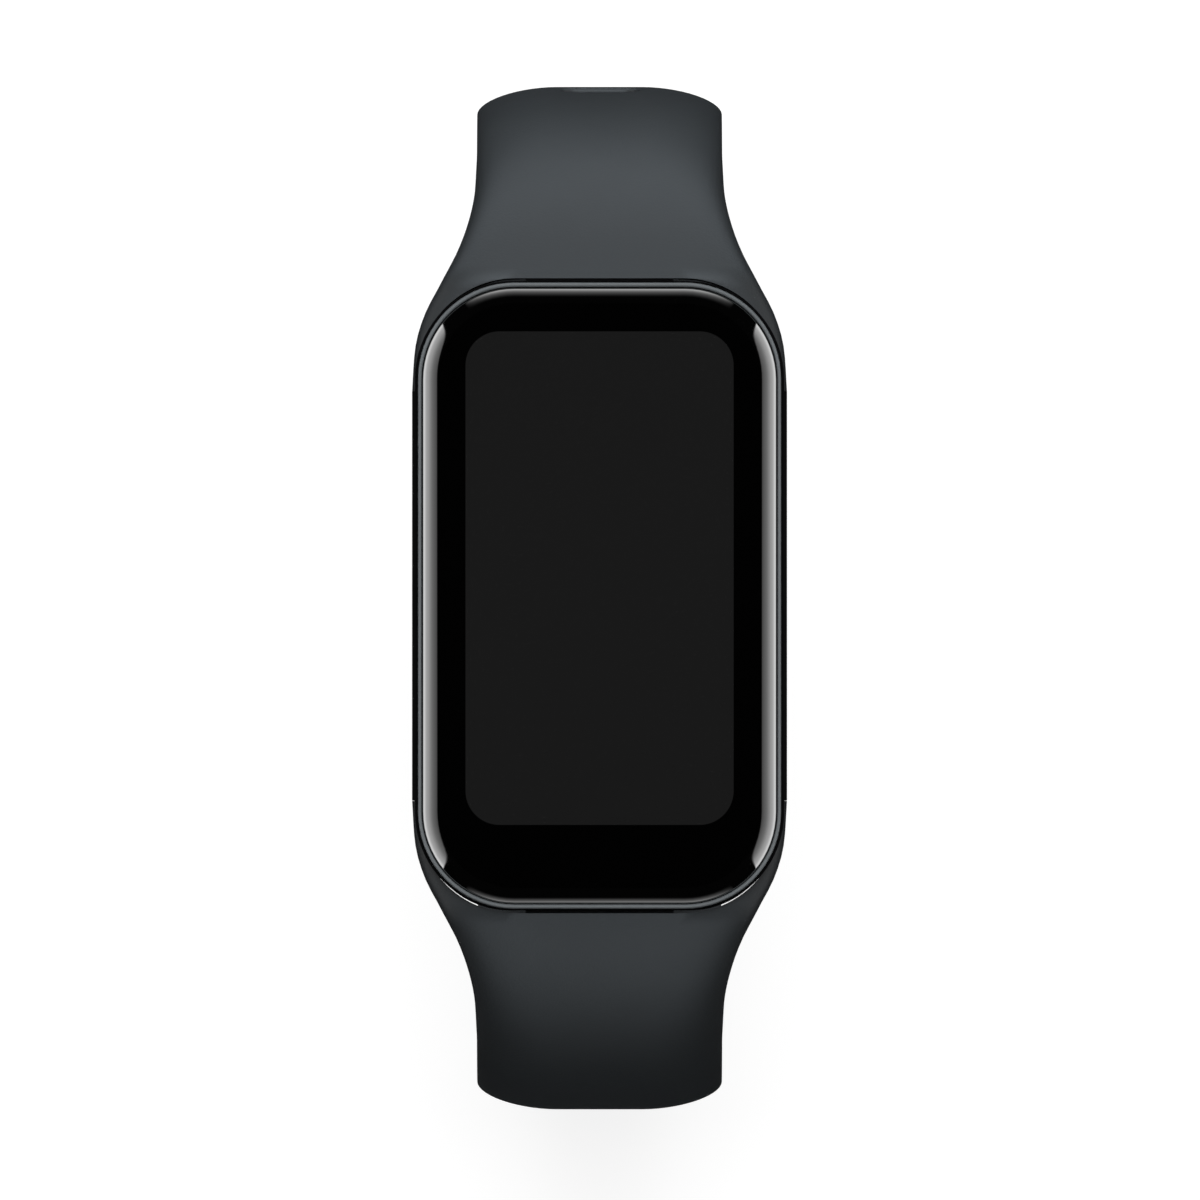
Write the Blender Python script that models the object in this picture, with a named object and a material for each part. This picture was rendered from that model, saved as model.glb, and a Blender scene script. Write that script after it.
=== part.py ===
"""A fitness tracker band: a sealed case with a touch display, and two soft straps with a buckle.

The display faces up, the tail strap leaves the case towards +Y and the buckle strap towards -Y.
The origin is on the surface that the band stands on, under the middle of the case.
Every size below is in millimetres.
"""

import math

import bmesh
import bpy
from mathutils import Matrix, Vector

MM = 0.001

# --- driving sizes: case -------------------------------------------------------------------
CASE_LENGTH = 42.44
CASE_WIDTH = 25.3
CASE_HEIGHT = 10.0
CASE_CORNER = 6.6
GLASS_CORNER = 6.2
CAVITY_CORNER = 2.8
SIDE_BULGE = 0.45
WALL_SIDE = 1.6
WALL_END = 2.82
GLASS_LIP = 0.2
GLASS_DEPTH = 0.88
GLASS_ROUNDING = 1.05
RIM_BELOW_GLASS = 0.38
SEAM_BELOW_TOP = 1.04
SHOULDER_LIP = 0.26
BACK_STEP_DEPTH = 1.4
BACK_STEP_WALL = 0.45
BACK_CORNER = 5.6
BACK_EDGE = 0.75
COVER_DEPTH = 0.4

# --- driving sizes: straps and loop ----------------------------------------------------------
LOOP_WIDTH = 69.4
LEAVE_ANGLE = 30.0
TAIL_DROP = 8.0
TAIL_LENGTH = 103.4
BUCKLE_STRAP_LENGTH = 68.9
BUCKLE_CURL_FROM = 100.0
BUCKLE_CURL_RADIUS = 21.0
STRAP_WIDTH = 16.6
STRAP_THICKNESS = 2.4
STRAP_CROWN = 1.85
STRAP_LAND = 6.0
CROWN_POWER = 1.8
ROOT_CROWN = 2.5
ROOT_THICKNESS = 7.6
ROOT_LENGTH = 16.0
SHOULDER_FROM = 14.0
SHOULDER_LENGTH = 17.4
TIP_ROUNDING = 7.0

# --- driving sizes: adjusting slots ----------------------------------------------------------
SLOT_COUNT = 15
SLOT_FIRST = 24.2
SLOT_PITCH = 5.0
SLOT_WIDTH = 5.2
SLOT_HEIGHT = 2.0

# --- driving sizes: buckle and keeper --------------------------------------------------------
PIN_RADIUS = 0.65
KNUCKLE_RADIUS = 1.6
FRAME_ARM = 1.6
FRAME_BAR = 2.4
FRAME_REACH = 11.6
FRAME_THICKNESS = 2.6
TONGUE_WIDTH = 4.0
TONGUE_THICKNESS = 0.9
KEEPER_BACK = 8.0
KEEPER_WIDTH = 4.5
KEEPER_WALL = 1.1

# --- driving sizes: strap release ------------------------------------------------------------
CONNECTOR_WIDTH = 10.0
CONNECTOR_HEIGHT = 2.5
CONNECTOR_LIFT = 2.9
CONNECTOR_REACH = 2.0
LATCH_WIDTH = 4.9
LATCH_TRAVEL = 0.8
LATCH_BITE = 0.4
POCKET_FLOOR = 1.0
CONNECTOR_END = 0.45
SHELF_LATCH = 0.3
SPRING_RADIUS = 0.42
SPRING_WIRE = 0.12
SPRING_TURNS = 4

# --- driving sizes: inside the case ----------------------------------------------------------
DISPLAY_WIDTH = 20.4
DISPLAY_LENGTH = 36.2
DISPLAY_CORNER = 2.6
PANEL_THICKNESS = 1.05
BACKLIGHT_THICKNESS = 0.6
ADHESIVE_THICKNESS = 0.15
BOARD_THICKNESS = 0.6
CHIP_HEIGHT = 0.5
CHASSIS_WALL = 0.8
SHELF_THICKNESS = 0.4
BATTERY_WIDTH = 18.2
BATTERY_LENGTH = 25.6
MOTOR_RADIUS = 3.7
SHIELD_WALL = 0.2
SCREW_RADIUS = 0.85
SENSOR_BOARD_THICKNESS = 0.4
SENSOR_LAMP = 1.6
SENSOR_EYE = 2.6
SENSOR_PITCH = 4.4
SENSOR_HEIGHT = 0.45
DOME_WIDTH = 15.0
DOME_LENGTH = 22.0
DOME_CORNER = 5.4
WINDOW_WIDTH = 11.2
WINDOW_LENGTH = 16.4
WINDOW_CORNER = 4.0
WINDOW_THICKNESS = 0.5
CONTACT_RADIUS = 1.1
CONTACT_SPACING = 7.0
CONTACT_BACK = 2.4

# --- named clearances ------------------------------------------------------------------------
GAP = 0.05
SEAM = 0.15
STRAP_SEAM = 0.2
RUNNING = 0.1
SLIDE_GAP = 0.35
KEEPER_GAP = 0.4
STACK_GAP = 0.04
PART_GAP = 0.25
CELL_CLEARANCE = 0.63

# --- places worked out from the driving sizes ------------------------------------------------
HALF_WIDTH = CASE_WIDTH / 2
HALF_LENGTH = CASE_LENGTH / 2
CORE_HALF_WIDTH = HALF_WIDTH - SIDE_BULGE
STRAP_START = HALF_LENGTH + STRAP_SEAM
ARC_RADIUS = (LOOP_WIDTH / 2 - STRAP_START) / (1 - math.sin(math.radians(LEAVE_ANGLE)))
SEAM_Z = ARC_RADIUS + TAIL_DROP + ARC_RADIUS * math.cos(math.radians(LEAVE_ANGLE))
TOP_Z = SEAM_Z + SEAM_BELOW_TOP
CASE_Z = TOP_Z - CASE_HEIGHT
GLASS_HALF_WIDTH = CORE_HALF_WIDTH - GLASS_LIP - GAP
GLASS_HALF_LENGTH = HALF_LENGTH - 2 * GLASS_LIP - GAP
CAVITY_HALF_WIDTH = CORE_HALF_WIDTH - WALL_SIDE
CAVITY_HALF_LENGTH = HALF_LENGTH - WALL_END
STEP_HALF_WIDTH = CORE_HALF_WIDTH - BACK_STEP_WALL - PART_GAP
STEP_HALF_LENGTH = HALF_LENGTH - BACK_STEP_WALL - 0.6

# Shares of the shoulder's length, and of the extra width that is left there.
SHOULDER_SHAPE = (
    (0.0, 1.0), (0.173, 0.943), (0.295, 0.793), (0.41, 0.552),
    (0.526, 0.326), (0.647, 0.172), (0.821, 0.046), (1.0, 0.0),
)

PLASTIC_BLACK = ("case_plastic", (0.012, 0.012, 0.014), 0.28, 0.0)
GLASS_BLACK = ("cover_glass", (0.004, 0.004, 0.005), 0.05, 0.0)
SOFT_STRAP = ("strap_rubber", (0.068, 0.078, 0.084), 0.62, 0.0)
BUCKLE_PLASTIC = ("buckle_plastic", (0.03, 0.033, 0.036), 0.42, 0.0)
STEEL = ("steel", (0.62, 0.62, 0.63), 0.25, 1.0)
GOLD = ("contact_plating", (0.83, 0.66, 0.33), 0.22, 1.0)
SEAL = ("seal_rubber", (0.02, 0.02, 0.02), 0.8, 0.0)
PANEL = ("display_panel", (0.011, 0.011, 0.012), 0.3, 0.0)
ADHESIVE = ("clear_adhesive", (0.75, 0.77, 0.78), 0.3, 0.0)
WHITE_PLASTIC = ("white_plastic", (0.78, 0.78, 0.76), 0.5, 0.0)
CHASSIS = ("chassis_plastic", (0.05, 0.05, 0.055), 0.6, 0.0)
BOARD = ("circuit_board", (0.01, 0.08, 0.045), 0.45, 0.0)
CHIP = ("chip_plastic", (0.02, 0.02, 0.022), 0.55, 0.0)
FLEX = ("flex_film", (0.42, 0.2, 0.04), 0.4, 0.0)
CELL = ("battery_foil", (0.55, 0.56, 0.58), 0.35, 1.0)
CERAMIC = ("antenna_ceramic", (0.72, 0.7, 0.62), 0.5, 0.0)
LED = ("led_resin", (0.2, 0.75, 0.35), 0.3, 0.0)
WINDOW = ("sensor_window", (0.02, 0.02, 0.022), 0.08, 0.0)


# --- tools -----------------------------------------------------------------------------------
def clear_scene():
    for item in list(bpy.data.objects):
        bpy.data.objects.remove(item, do_unlink=True)


def new_collection(name):
    found = bpy.data.collections.new(name)
    bpy.context.scene.collection.children.link(found)
    return found


def finish_of(finish):
    """The Principled material of a finish given as name, colour, roughness and metallic."""
    name, colour, roughness, metallic = finish
    found = bpy.data.materials.get(name)
    if found:
        return found
    found = bpy.data.materials.new(name)
    found.use_nodes = True
    shader = found.node_tree.nodes["Principled BSDF"]
    shader.inputs["Base Color"].default_value = (*colour, 1.0)
    shader.inputs["Roughness"].default_value = roughness
    shader.inputs["Metallic"].default_value = metallic
    return found


def object_from(name, mesh_maker, finish=None, origin=(0.0, 0.0, 0.0)):
    """An object whose bmesh is given in millimetres of the band's frame, with its origin at a point."""
    mesh = bpy.data.meshes.new(name)
    bmesh.ops.recalc_face_normals(mesh_maker, faces=mesh_maker.faces)
    mesh_maker.to_mesh(mesh)
    mesh_maker.free()
    point = Vector(origin)
    mesh.transform(Matrix.Scale(MM, 4) @ Matrix.Translation(-point))
    mesh.shade_smooth()
    mesh.set_sharp_from_angle(angle=math.radians(35))
    made = bpy.data.objects.new(name, mesh)
    made.location = point * MM
    if finish is None:
        made.hide_render = True
        made.display_type = "WIRE"
        CUTTERS.objects.link(made)
    else:
        mesh.materials.append(finish_of(finish))
        PARTS.objects.link(made)
    return made


def combine(target, tool, operation="DIFFERENCE"):
    """Cuts a tool from a piece, or joins it on, with a Boolean that stays live."""
    step = target.modifiers.new(f"{operation.lower()}_{tool.name}", "BOOLEAN")
    step.operation = operation
    step.object = tool
    step.solver = "EXACT"
    return target


def box_mesh(low, high, bevel=0.0):
    """A box between two corners, its edges rounded by a bevel of the given width."""
    made = bmesh.new()
    bmesh.ops.create_cube(made, size=1.0)
    size = Vector(high) - Vector(low)
    middle = (Vector(high) + Vector(low)) / 2
    bmesh.ops.scale(made, vec=size, verts=made.verts)
    bmesh.ops.translate(made, vec=middle, verts=made.verts)
    if bevel > 0:
        bmesh.ops.bevel(
            made, geom=made.edges[:], offset=bevel, affect="EDGES", segments=2,
            profile=0.5, material=-1,
        )
    return made


def rod_mesh(centre, radius, length, axis, segments=24):
    """A cylinder about an axis named X, Y or Z."""
    turn = {"X": Matrix.Rotation(math.pi / 2, 4, "Y"), "Y": Matrix.Rotation(math.pi / 2, 4, "X"),
            "Z": Matrix.Identity(4)}[axis]
    made = bmesh.new()
    bmesh.ops.create_cone(
        made, cap_ends=True, segments=segments, radius1=radius, radius2=radius, depth=length,
        matrix=Matrix.Translation(centre) @ turn,
    )
    return made


def outline(half_x, half_y, radius, steps=7):
    """The points of a rounded rectangle, anticlockwise from the +X side."""
    radius = min(radius, half_x - 0.01, half_y - 0.01)
    corners = ((1, 1, 0), (-1, 1, 90), (-1, -1, 180), (1, -1, 270))
    points = []
    for side_x, side_y, start in corners:
        for step in range(steps + 1):
            turn = math.radians(start + 90 * step / steps)
            points.append((
                side_x * (half_x - radius) + radius * math.cos(turn),
                side_y * (half_y - radius) + radius * math.sin(turn),
            ))
    return points


def loft_mesh(rings):
    """A closed skin through rings that have the same number of points, with a flat cap at each end."""
    made = bmesh.new()
    loops = [[made.verts.new(point) for point in ring] for ring in rings]
    for below, above in zip(loops, loops[1:]):
        for here, after in zip(range(len(below)), [*range(1, len(below)), 0]):
            made.faces.new((below[here], below[after], above[after], above[here]))
    made.faces.new(loops[0][::-1])
    made.faces.new(loops[-1])
    return made


def stack_mesh(levels, offset_y=0.0):
    """Rounded rectangles (half width, half length, corner, height above the case's back) as a loft."""
    rings = [
        [(x, y + offset_y, CASE_Z + height) for x, y in outline(half_x, half_y, radius)]
        for half_x, half_y, radius, height in levels
    ]
    return loft_mesh(rings)


def plate_mesh(half_x, half_y, radius, low, high, offset_y=0.0):
    return stack_mesh(((half_x, half_y, radius, low), (half_x, half_y, radius, high)), offset_y)


def in_case(low, high, bevel=0.0):
    """A box whose heights are measured from the case's back."""
    return box_mesh((low[0], low[1], CASE_Z + low[2]), (high[0], high[1], CASE_Z + high[2]), bevel)


def plate_ring(name, outer, inner, low, high, finish):
    """A flat ring between two rounded rectangles given as half width, half length and corner."""
    ring = object_from(name, plate_mesh(*outer, low, high), finish)
    hole = object_from(f"{name}_hole", plate_mesh(*inner, low - 1, high + 1))
    return combine(ring, hole)


# --- case --------------------------------------------------------------------------------------
def frame_levels():
    """The case's outer shape, from its back edge up to the lip around the glass."""
    top = CASE_HEIGHT - RIM_BELOW_GLASS
    core, full = CORE_HALF_WIDTH, HALF_WIDTH
    return (
        (core - 0.3, HALF_LENGTH - 0.45, CASE_CORNER - 0.4, 0.9),
        (core + 0.15, HALF_LENGTH - 0.2, CASE_CORNER - 0.2, 1.7),
        (full, HALF_LENGTH, CASE_CORNER, 3.4),
        (full, HALF_LENGTH, CASE_CORNER, top - 2.2),
        (full - 0.14, HALF_LENGTH, CASE_CORNER, top - 1.1),
        (core + 0.08, HALF_LENGTH, CASE_CORNER, top - 0.42),
        (core, HALF_LENGTH, CASE_CORNER - 0.05, top - 0.08),
        (core - 0.06, HALF_LENGTH - 0.06, CASE_CORNER - 0.1, top),
    )


def glass_seat():
    return CASE_HEIGHT - GLASS_DEPTH - ADHESIVE_THICKNESS - 2 * STACK_GAP


def back_ledge():
    return BACK_EDGE + BACK_STEP_DEPTH


def cover_top():
    return back_ledge() - COVER_DEPTH


def make_case_frame():
    frame = object_from("case_frame", stack_mesh(frame_levels()), PLASTIC_BLACK)
    seat = glass_seat()
    ledge = back_ledge()
    glass_pocket = plate_mesh(
        GLASS_HALF_WIDTH + GAP, GLASS_HALF_LENGTH + GAP, GLASS_CORNER + GAP, seat, 12)
    combine(frame, object_from("cut_glass_pocket", glass_pocket))
    cavity = plate_mesh(
        CAVITY_HALF_WIDTH, CAVITY_HALF_LENGTH, CAVITY_CORNER, ledge - 0.5, seat + 0.5)
    combine(frame, object_from("cut_cavity", cavity))
    step = plate_mesh(STEP_HALF_WIDTH, STEP_HALF_LENGTH, BACK_CORNER, 0, ledge)
    combine(frame, object_from("cut_back_step", step))
    for side in (1, -1):
        combine(frame, make_shoulder_recess(side))
        combine(frame, make_connector_pocket(side))
        combine(frame, make_latch_notch(side))
    return frame


def core_outline_mesh(grow, low, high):
    """The straight core that the straps' shoulders wrap, grown by a clearance."""
    return plate_mesh(
        CORE_HALF_WIDTH - 0.05 + grow, HALF_LENGTH + grow, CASE_CORNER - 0.1 + grow, low, high)


def make_shoulder_recess(side):
    """The room cut in the case's bulged sides, so that a strap's shoulder lies flush with them."""
    name = "tail" if side > 0 else "buckle"
    low_y, high_y = sorted((side * (SHOULDER_FROM - SEAM), side * (HALF_LENGTH + 3)))
    block = in_case((-HALF_WIDTH - 2, low_y, -1), (HALF_WIDTH + 2, high_y, shoulder_top()))
    recess = object_from(f"cut_shoulder_{name}", block)
    core = object_from(f"core_{name}", core_outline_mesh(0.0, -2, CASE_HEIGHT + 1))
    return combine(recess, core)


def shoulder_top():
    return CASE_HEIGHT - SEAM_BELOW_TOP - SHOULDER_LIP


def pocket_floor():
    """The inner end of the pocket that takes a strap's connector, along the case."""
    return HALF_LENGTH - WALL_END + POCKET_FLOOR


def make_connector_pocket(side):
    name = "tail" if side > 0 else "buckle"
    low_y, high_y = sorted((side * pocket_floor(), side * (HALF_LENGTH + 1)))
    half = CONNECTOR_WIDTH / 2 + SEAM
    pocket = in_case(
        (-half, low_y, CONNECTOR_LIFT - SEAM),
        (half, high_y, CONNECTOR_LIFT + CONNECTOR_HEIGHT + SEAM),
    )
    return object_from(f"cut_connector_{name}", pocket)


def make_latch_notch(side):
    name = "tail" if side > 0 else "buckle"
    low_y, high_y = sorted((side * (pocket_floor() - LATCH_BITE - SEAM), side * (HALF_LENGTH - 1)))
    half = LATCH_WIDTH / 2 + SEAM
    notch = in_case(
        (-half, low_y, CONNECTOR_LIFT - SEAM),
        (half, high_y, CONNECTOR_LIFT + latch_height() + SEAM))
    return object_from(f"cut_notch_{name}", notch)


def make_glass():
    low = CASE_HEIGHT - GLASS_DEPTH
    reach = GLASS_ROUNDING
    steps = ((0.0, 0.0), (0.0, 0.42), (0.06, 0.64), (0.22, 0.79), (0.55, 0.86), (1.0, GLASS_DEPTH))
    levels = [
        (GLASS_HALF_WIDTH - inset * reach, GLASS_HALF_LENGTH - inset * reach,
         GLASS_CORNER - inset * reach / 2, low + height)
        for inset, height in steps
    ]
    return object_from("cover_glass", stack_mesh(levels), GLASS_BLACK)


def make_glass_bond():
    """The ring that seals the glass to the case, and the clear film that bonds the display to it."""
    low = glass_seat() + STACK_GAP
    outer = (GLASS_HALF_WIDTH - SEAM, GLASS_HALF_LENGTH - SEAM, GLASS_CORNER - SEAM)
    inner = (CAVITY_HALF_WIDTH + RUNNING, CAVITY_HALF_LENGTH + RUNNING, CAVITY_CORNER + RUNNING)
    plate_ring("glass_gasket", outer, inner, low, low + ADHESIVE_THICKNESS, SEAL)
    film = plate_mesh(
        DISPLAY_WIDTH / 2 - 0.4, DISPLAY_LENGTH / 2 - 0.4, DISPLAY_CORNER - 0.6,
        low, low + ADHESIVE_THICKNESS)
    object_from("optical_adhesive", film, ADHESIVE)


def panel_top():
    return glass_seat()


def backlight_low():
    return panel_top() - PANEL_THICKNESS - STACK_GAP - BACKLIGHT_THICKNESS


def make_display():
    half_x, half_y = DISPLAY_WIDTH / 2, DISPLAY_LENGTH / 2
    panel = plate_mesh(half_x, half_y, DISPLAY_CORNER, panel_top() - PANEL_THICKNESS, panel_top())
    object_from("display_panel", panel, PANEL)
    light = plate_mesh(
        half_x - 0.3, half_y - 1.2, DISPLAY_CORNER - 0.4,
        backlight_low(), backlight_low() + BACKLIGHT_THICKNESS)
    object_from("display_backlight", light, WHITE_PLASTIC)
    end = -half_y
    flex = in_case(
        (-4.0, end + 0.15, board_top() + GAP),
        (4.0, end + 0.33, panel_top() - PANEL_THICKNESS - STACK_GAP),
    )
    foot = in_case((-4.0, end + 0.2, board_top() + GAP), (4.0, end + 2.4, board_top() + 0.2))
    body = object_from("display_flex", flex, FLEX)
    combine(body, object_from("flex_foot", foot), "UNION")


def board_low():
    return backlight_low() - STACK_GAP - CHIP_HEIGHT - PART_GAP - BOARD_THICKNESS


def board_top():
    return board_low() + BOARD_THICKNESS


def chassis_inner():
    return CAVITY_HALF_WIDTH - 0.15 - CHASSIS_WALL, CAVITY_HALF_LENGTH - 0.15 - CHASSIS_WALL


def make_chassis():
    """The tray inside the case: the board sits on its shelf, and the cell hangs below the shelf."""
    half_x, half_y = chassis_inner()
    low = back_ledge() + PART_GAP
    shelf_top = board_low() - STACK_GAP
    tray = object_from(
        "inner_chassis",
        plate_mesh(half_x + CHASSIS_WALL, half_y + CHASSIS_WALL, CAVITY_CORNER, low, board_low() + 0.3),
        CHASSIS)
    corner = CAVITY_CORNER - 0.6
    above = plate_mesh(half_x, half_y, corner, shelf_top, board_top() + 1)
    combine(tray, object_from("cut_above_shelf", above))
    below = plate_mesh(half_x, half_y, corner, low - 1, shelf_top - SHELF_THICKNESS)
    combine(tray, object_from("cut_below_shelf", below))
    window = plate_mesh(3.0, 4.0, 1.0, 0, CASE_HEIGHT, 3.0)
    combine(tray, object_from("cut_shelf_window", window))
    flex_gate = in_case(
        (-4.3, -half_y - 2, shelf_top - 0.1), (4.3, -half_y + 0.6, board_top() + 1))
    combine(tray, object_from("cut_flex_gate", flex_gate))


def make_board():
    half_x, half_y = chassis_inner()
    board = plate_mesh(half_x - 0.2, half_y - 0.2, 3.4, board_low(), board_top())
    object_from("circuit_board", board, BOARD)
    low = board_top() + GAP
    high = low + CHIP_HEIGHT
    for name, corner, size, finish in (
        ("processor", (-4.6, -2.5), (5.0, 5.0), CHIP),
        ("memory_chip", (1.2, -2.0), (3.4, 4.2), CHIP),
        ("motion_sensor", (-1.2, 11.4), (2.5, 3.0), CHIP),
        ("radio_antenna", (5.6, 9.6), (1.6, 5.0), CERAMIC),
    ):
        chip = in_case((*corner, low), (corner[0] + size[0], corner[1] + size[1], high))
        object_from(name, chip, finish)
    wall = SHIELD_WALL
    can = object_from("shield_can", in_case((-5.6, -4.2, low), (5.6, 4.2, high + wall)), STEEL)
    room = in_case((wall - 5.6, wall - 4.2, low - 1), (5.6 - wall, 4.2 - wall, high + GAP))
    combine(can, object_from("cut_shield_room", room))
    for name, x, y in (("board_screw_left", -7.6, -12.5), ("board_screw_right", 7.6, 8.0)):
        head = rod_mesh((x, y, CASE_Z + low + 0.2), SCREW_RADIUS, 0.4, "Z", 16)
        object_from(name, head, STEEL)


def make_battery():
    """The cell and the motor, which fill the height between the sensor's board and the shelf."""
    shelf_low = board_low() - STACK_GAP - SHELF_THICKNESS
    high = shelf_low - GAP
    low = cover_top() + STACK_GAP + SENSOR_BOARD_THICKNESS + CELL_CLEARANCE
    middle = CAVITY_HALF_LENGTH - 1.2 - 2 * MOTOR_RADIUS - 0.3 - BATTERY_LENGTH / 2
    cell = in_case(
        (-BATTERY_WIDTH / 2, middle - BATTERY_LENGTH / 2, low),
        (BATTERY_WIDTH / 2, middle + BATTERY_LENGTH / 2, high), 0.4)
    object_from("battery", cell, CELL)
    lead = in_case((3.4, -1.0, high + GAP / 2), (4.6, 2.0, board_low() - STACK_GAP))
    gate = in_case((3.2, -1.2, low), (4.8, 2.2, board_low() + 0.1))
    combine(bpy.data.objects["inner_chassis"], object_from("cut_battery_gate", gate))
    object_from("battery_flex", lead, FLEX)
    motor_y = CAVITY_HALF_LENGTH - 1.1 - MOTOR_RADIUS
    motor = rod_mesh((0, motor_y, CASE_Z + (low + high) / 2), MOTOR_RADIUS, high - low, "Z", 28)
    object_from("vibration_motor", motor, STEEL)


def make_back():
    """The back cover with the domed sensor lens, its seal and the charging contacts."""
    ledge, top = back_ledge(), cover_top()
    half_x, half_y = STEP_HALF_WIDTH - SEAM, STEP_HALF_LENGTH - SEAM
    plate = plate_mesh(half_x, half_y, BACK_CORNER - 0.1, BACK_EDGE, top)
    cover = object_from("back_cover", plate, PLASTIC_BLACK)
    dome = stack_mesh([
        (DOME_WIDTH / 2 - inset, DOME_LENGTH / 2 - inset, DOME_CORNER - corner, height)
        for inset, corner, height in (
            (0.9, 0.8, 0.0), (0.35, 0.3, BACK_EDGE / 3), (0.0, 0.0, BACK_EDGE + 0.2))
    ])
    combine(cover, object_from("dome", dome), "UNION")
    half_window = (WINDOW_WIDTH / 2, WINDOW_LENGTH / 2)
    seat = plate_mesh(half_window[0] + SEAM, half_window[1] + SEAM, WINDOW_CORNER + 0.1,
                      -1, WINDOW_THICKNESS + GAP)
    combine(cover, object_from("cut_window_seat", seat))
    well = plate_mesh(half_window[0] - 0.7, half_window[1] - 0.7, WINDOW_CORNER - 0.7, 0, top + 1)
    combine(cover, object_from("cut_sensor_well", well))
    window = plate_mesh(*half_window, WINDOW_CORNER, 0.0, WINDOW_THICKNESS)
    object_from("sensor_window", window, WINDOW)
    outer = (half_x - SEAM, half_y - SEAM, BACK_CORNER - 0.3)
    inner = (CAVITY_HALF_WIDTH + PART_GAP, CAVITY_HALF_LENGTH + 0.45, BACK_CORNER - 1.2)
    plate_ring("back_cover_gasket", outer, inner, top + STACK_GAP, ledge - STACK_GAP, SEAL)
    contact_y = -DOME_LENGTH / 2 - CONTACT_BACK
    for name, x in (("charging_contact_left", -1), ("charging_contact_right", 1)):
        place = (x * CONTACT_SPACING / 2, contact_y, CASE_Z + BACK_EDGE + (top - BACK_EDGE) / 2 + 0.05)
        depth = top - BACK_EDGE
        hole = rod_mesh(place, CONTACT_RADIUS + GAP, depth + 2, "Z", 20)
        combine(cover, object_from(f"cut_{name}", hole))
        object_from(name, rod_mesh(place, CONTACT_RADIUS, depth, "Z", 20), GOLD)


def make_sensor():
    """The optical sensor that looks through the window: its board, lamps, detector and light wall."""
    top = cover_top()
    low = top + STACK_GAP
    board = plate_mesh(
        WINDOW_WIDTH / 2 + 0.8, WINDOW_LENGTH / 2 + 0.4, 1.0, low, low + SENSOR_BOARD_THICKNESS)
    object_from("sensor_board", board, BOARD)
    lamp_low = top - SENSOR_HEIGHT

    def component(name, y, half, finish):
        block = in_case((-half, y - half, lamp_low), (half, y + half, top))
        return object_from(name, block, finish)

    component("sensor_lamp_front", SENSOR_PITCH, SENSOR_LAMP / 2, LED)
    component("sensor_lamp_back", -SENSOR_PITCH, SENSOR_LAMP / 2, LED)
    component("photodiode", 0.0, SENSOR_EYE / 2, CHIP)
    half_x, half_y = WINDOW_WIDTH / 2 - 0.9, WINDOW_LENGTH / 2 - 0.9
    wall = object_from(
        "light_barrier",
        plate_mesh(half_x, half_y, WINDOW_CORNER - 0.9, WINDOW_THICKNESS + RUNNING, top - GAP),
        CHASSIS)
    for name, y, size in (
        ("front", SENSOR_PITCH, SENSOR_LAMP),
        ("middle", 0.0, SENSOR_EYE),
        ("back", -SENSOR_PITCH, SENSOR_LAMP),
    ):
        half = size / 2 + 0.3
        cell = in_case((-half, y - half, 0), (half, y + half, top + 1))
        combine(wall, object_from(f"cut_light_{name}", cell))


# --- strap release -----------------------------------------------------------------------------
def latch_height():
    return CONNECTOR_HEIGHT - 0.8


def make_release(side):
    """The hard insert that joins a strap to the case, with its sprung latch."""
    name = "tail" if side > 0 else "buckle"

    def span(near, far):
        return sorted((side * near, side * far))

    root = pocket_floor() + SEAM
    reach = HALF_LENGTH + CONNECTOR_REACH
    wall = reach - CONNECTOR_END
    low, high = CONNECTOR_LIFT, CONNECTOR_LIFT + CONNECTOR_HEIGHT
    low_y, high_y = span(root, reach)
    half = CONNECTOR_WIDTH / 2
    insert = in_case((-half, low_y, low), (half, high_y, high))
    connector = object_from(f"strap_connector_{name}", insert, CHASSIS)
    low_y, high_y = span(root - 1, wall)
    room = LATCH_WIDTH / 2 + SEAM
    channel = in_case((-room, low_y, low - 1), (room, high_y, low + latch_height() + SEAM))
    combine(connector, object_from(f"cut_channel_{name}", channel))

    front = pocket_floor() - LATCH_BITE
    back = front + 2.1
    half = LATCH_WIDTH / 2
    low_y, high_y = span(front, back)
    block = in_case((-half, low_y, low + GAP), (half, high_y, low + latch_height()))
    latch = object_from(f"release_latch_{name}", block, BUCKLE_PLASTIC)
    end = wall - LATCH_TRAVEL - GAP
    low_y, high_y = span(back - SHELF_LATCH, end)
    shelf = in_case((-half, low_y, low + GAP), (half, high_y, low + SHELF_LATCH))
    combine(latch, object_from(f"latch_shelf_{name}", shelf), "UNION")
    low_y, high_y = span(STRAP_START + SEAM, end)
    pad = in_case((-half, low_y, low - 0.55), (half, high_y, low + 0.2))
    combine(latch, object_from(f"latch_pad_{name}", pad), "UNION")
    make_latch_spring(name, side, back + GAP, wall - GAP, low)


def make_latch_spring(name, side, near, far, low):
    """A small coil that pushes the latch back into its notch."""
    wire, radius, steps = SPRING_WIRE, SPRING_RADIUS, 10
    height = low + SHELF_LATCH + radius + 2 * wire
    curve = bpy.data.curves.new(f"latch_spring_{name}", "CURVE")
    curve.dimensions = "3D"
    curve.bevel_depth = wire * MM
    curve.bevel_resolution = 1
    curve.use_fill_caps = True
    spline = curve.splines.new("POLY")
    count = SPRING_TURNS * steps + 1
    spline.points.add(count - 1)
    for index in range(count):
        turn = 2 * math.pi * index / steps
        along = near + wire + (far - near - 2 * wire) * index / (count - 1)
        place = Vector((
            radius * math.cos(turn), side * along, CASE_Z + height + radius * math.sin(turn)))
        spline.points[index].co = (*(place * MM), 1.0)
    curve.materials.append(finish_of(STEEL))
    PARTS.objects.link(bpy.data.objects.new(f"latch_spring_{name}", curve))


# --- straps ------------------------------------------------------------------------------------
def smooth(share):
    share = min(max(share, 0.0), 1.0)
    return share * share * (3 - 2 * share)


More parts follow.
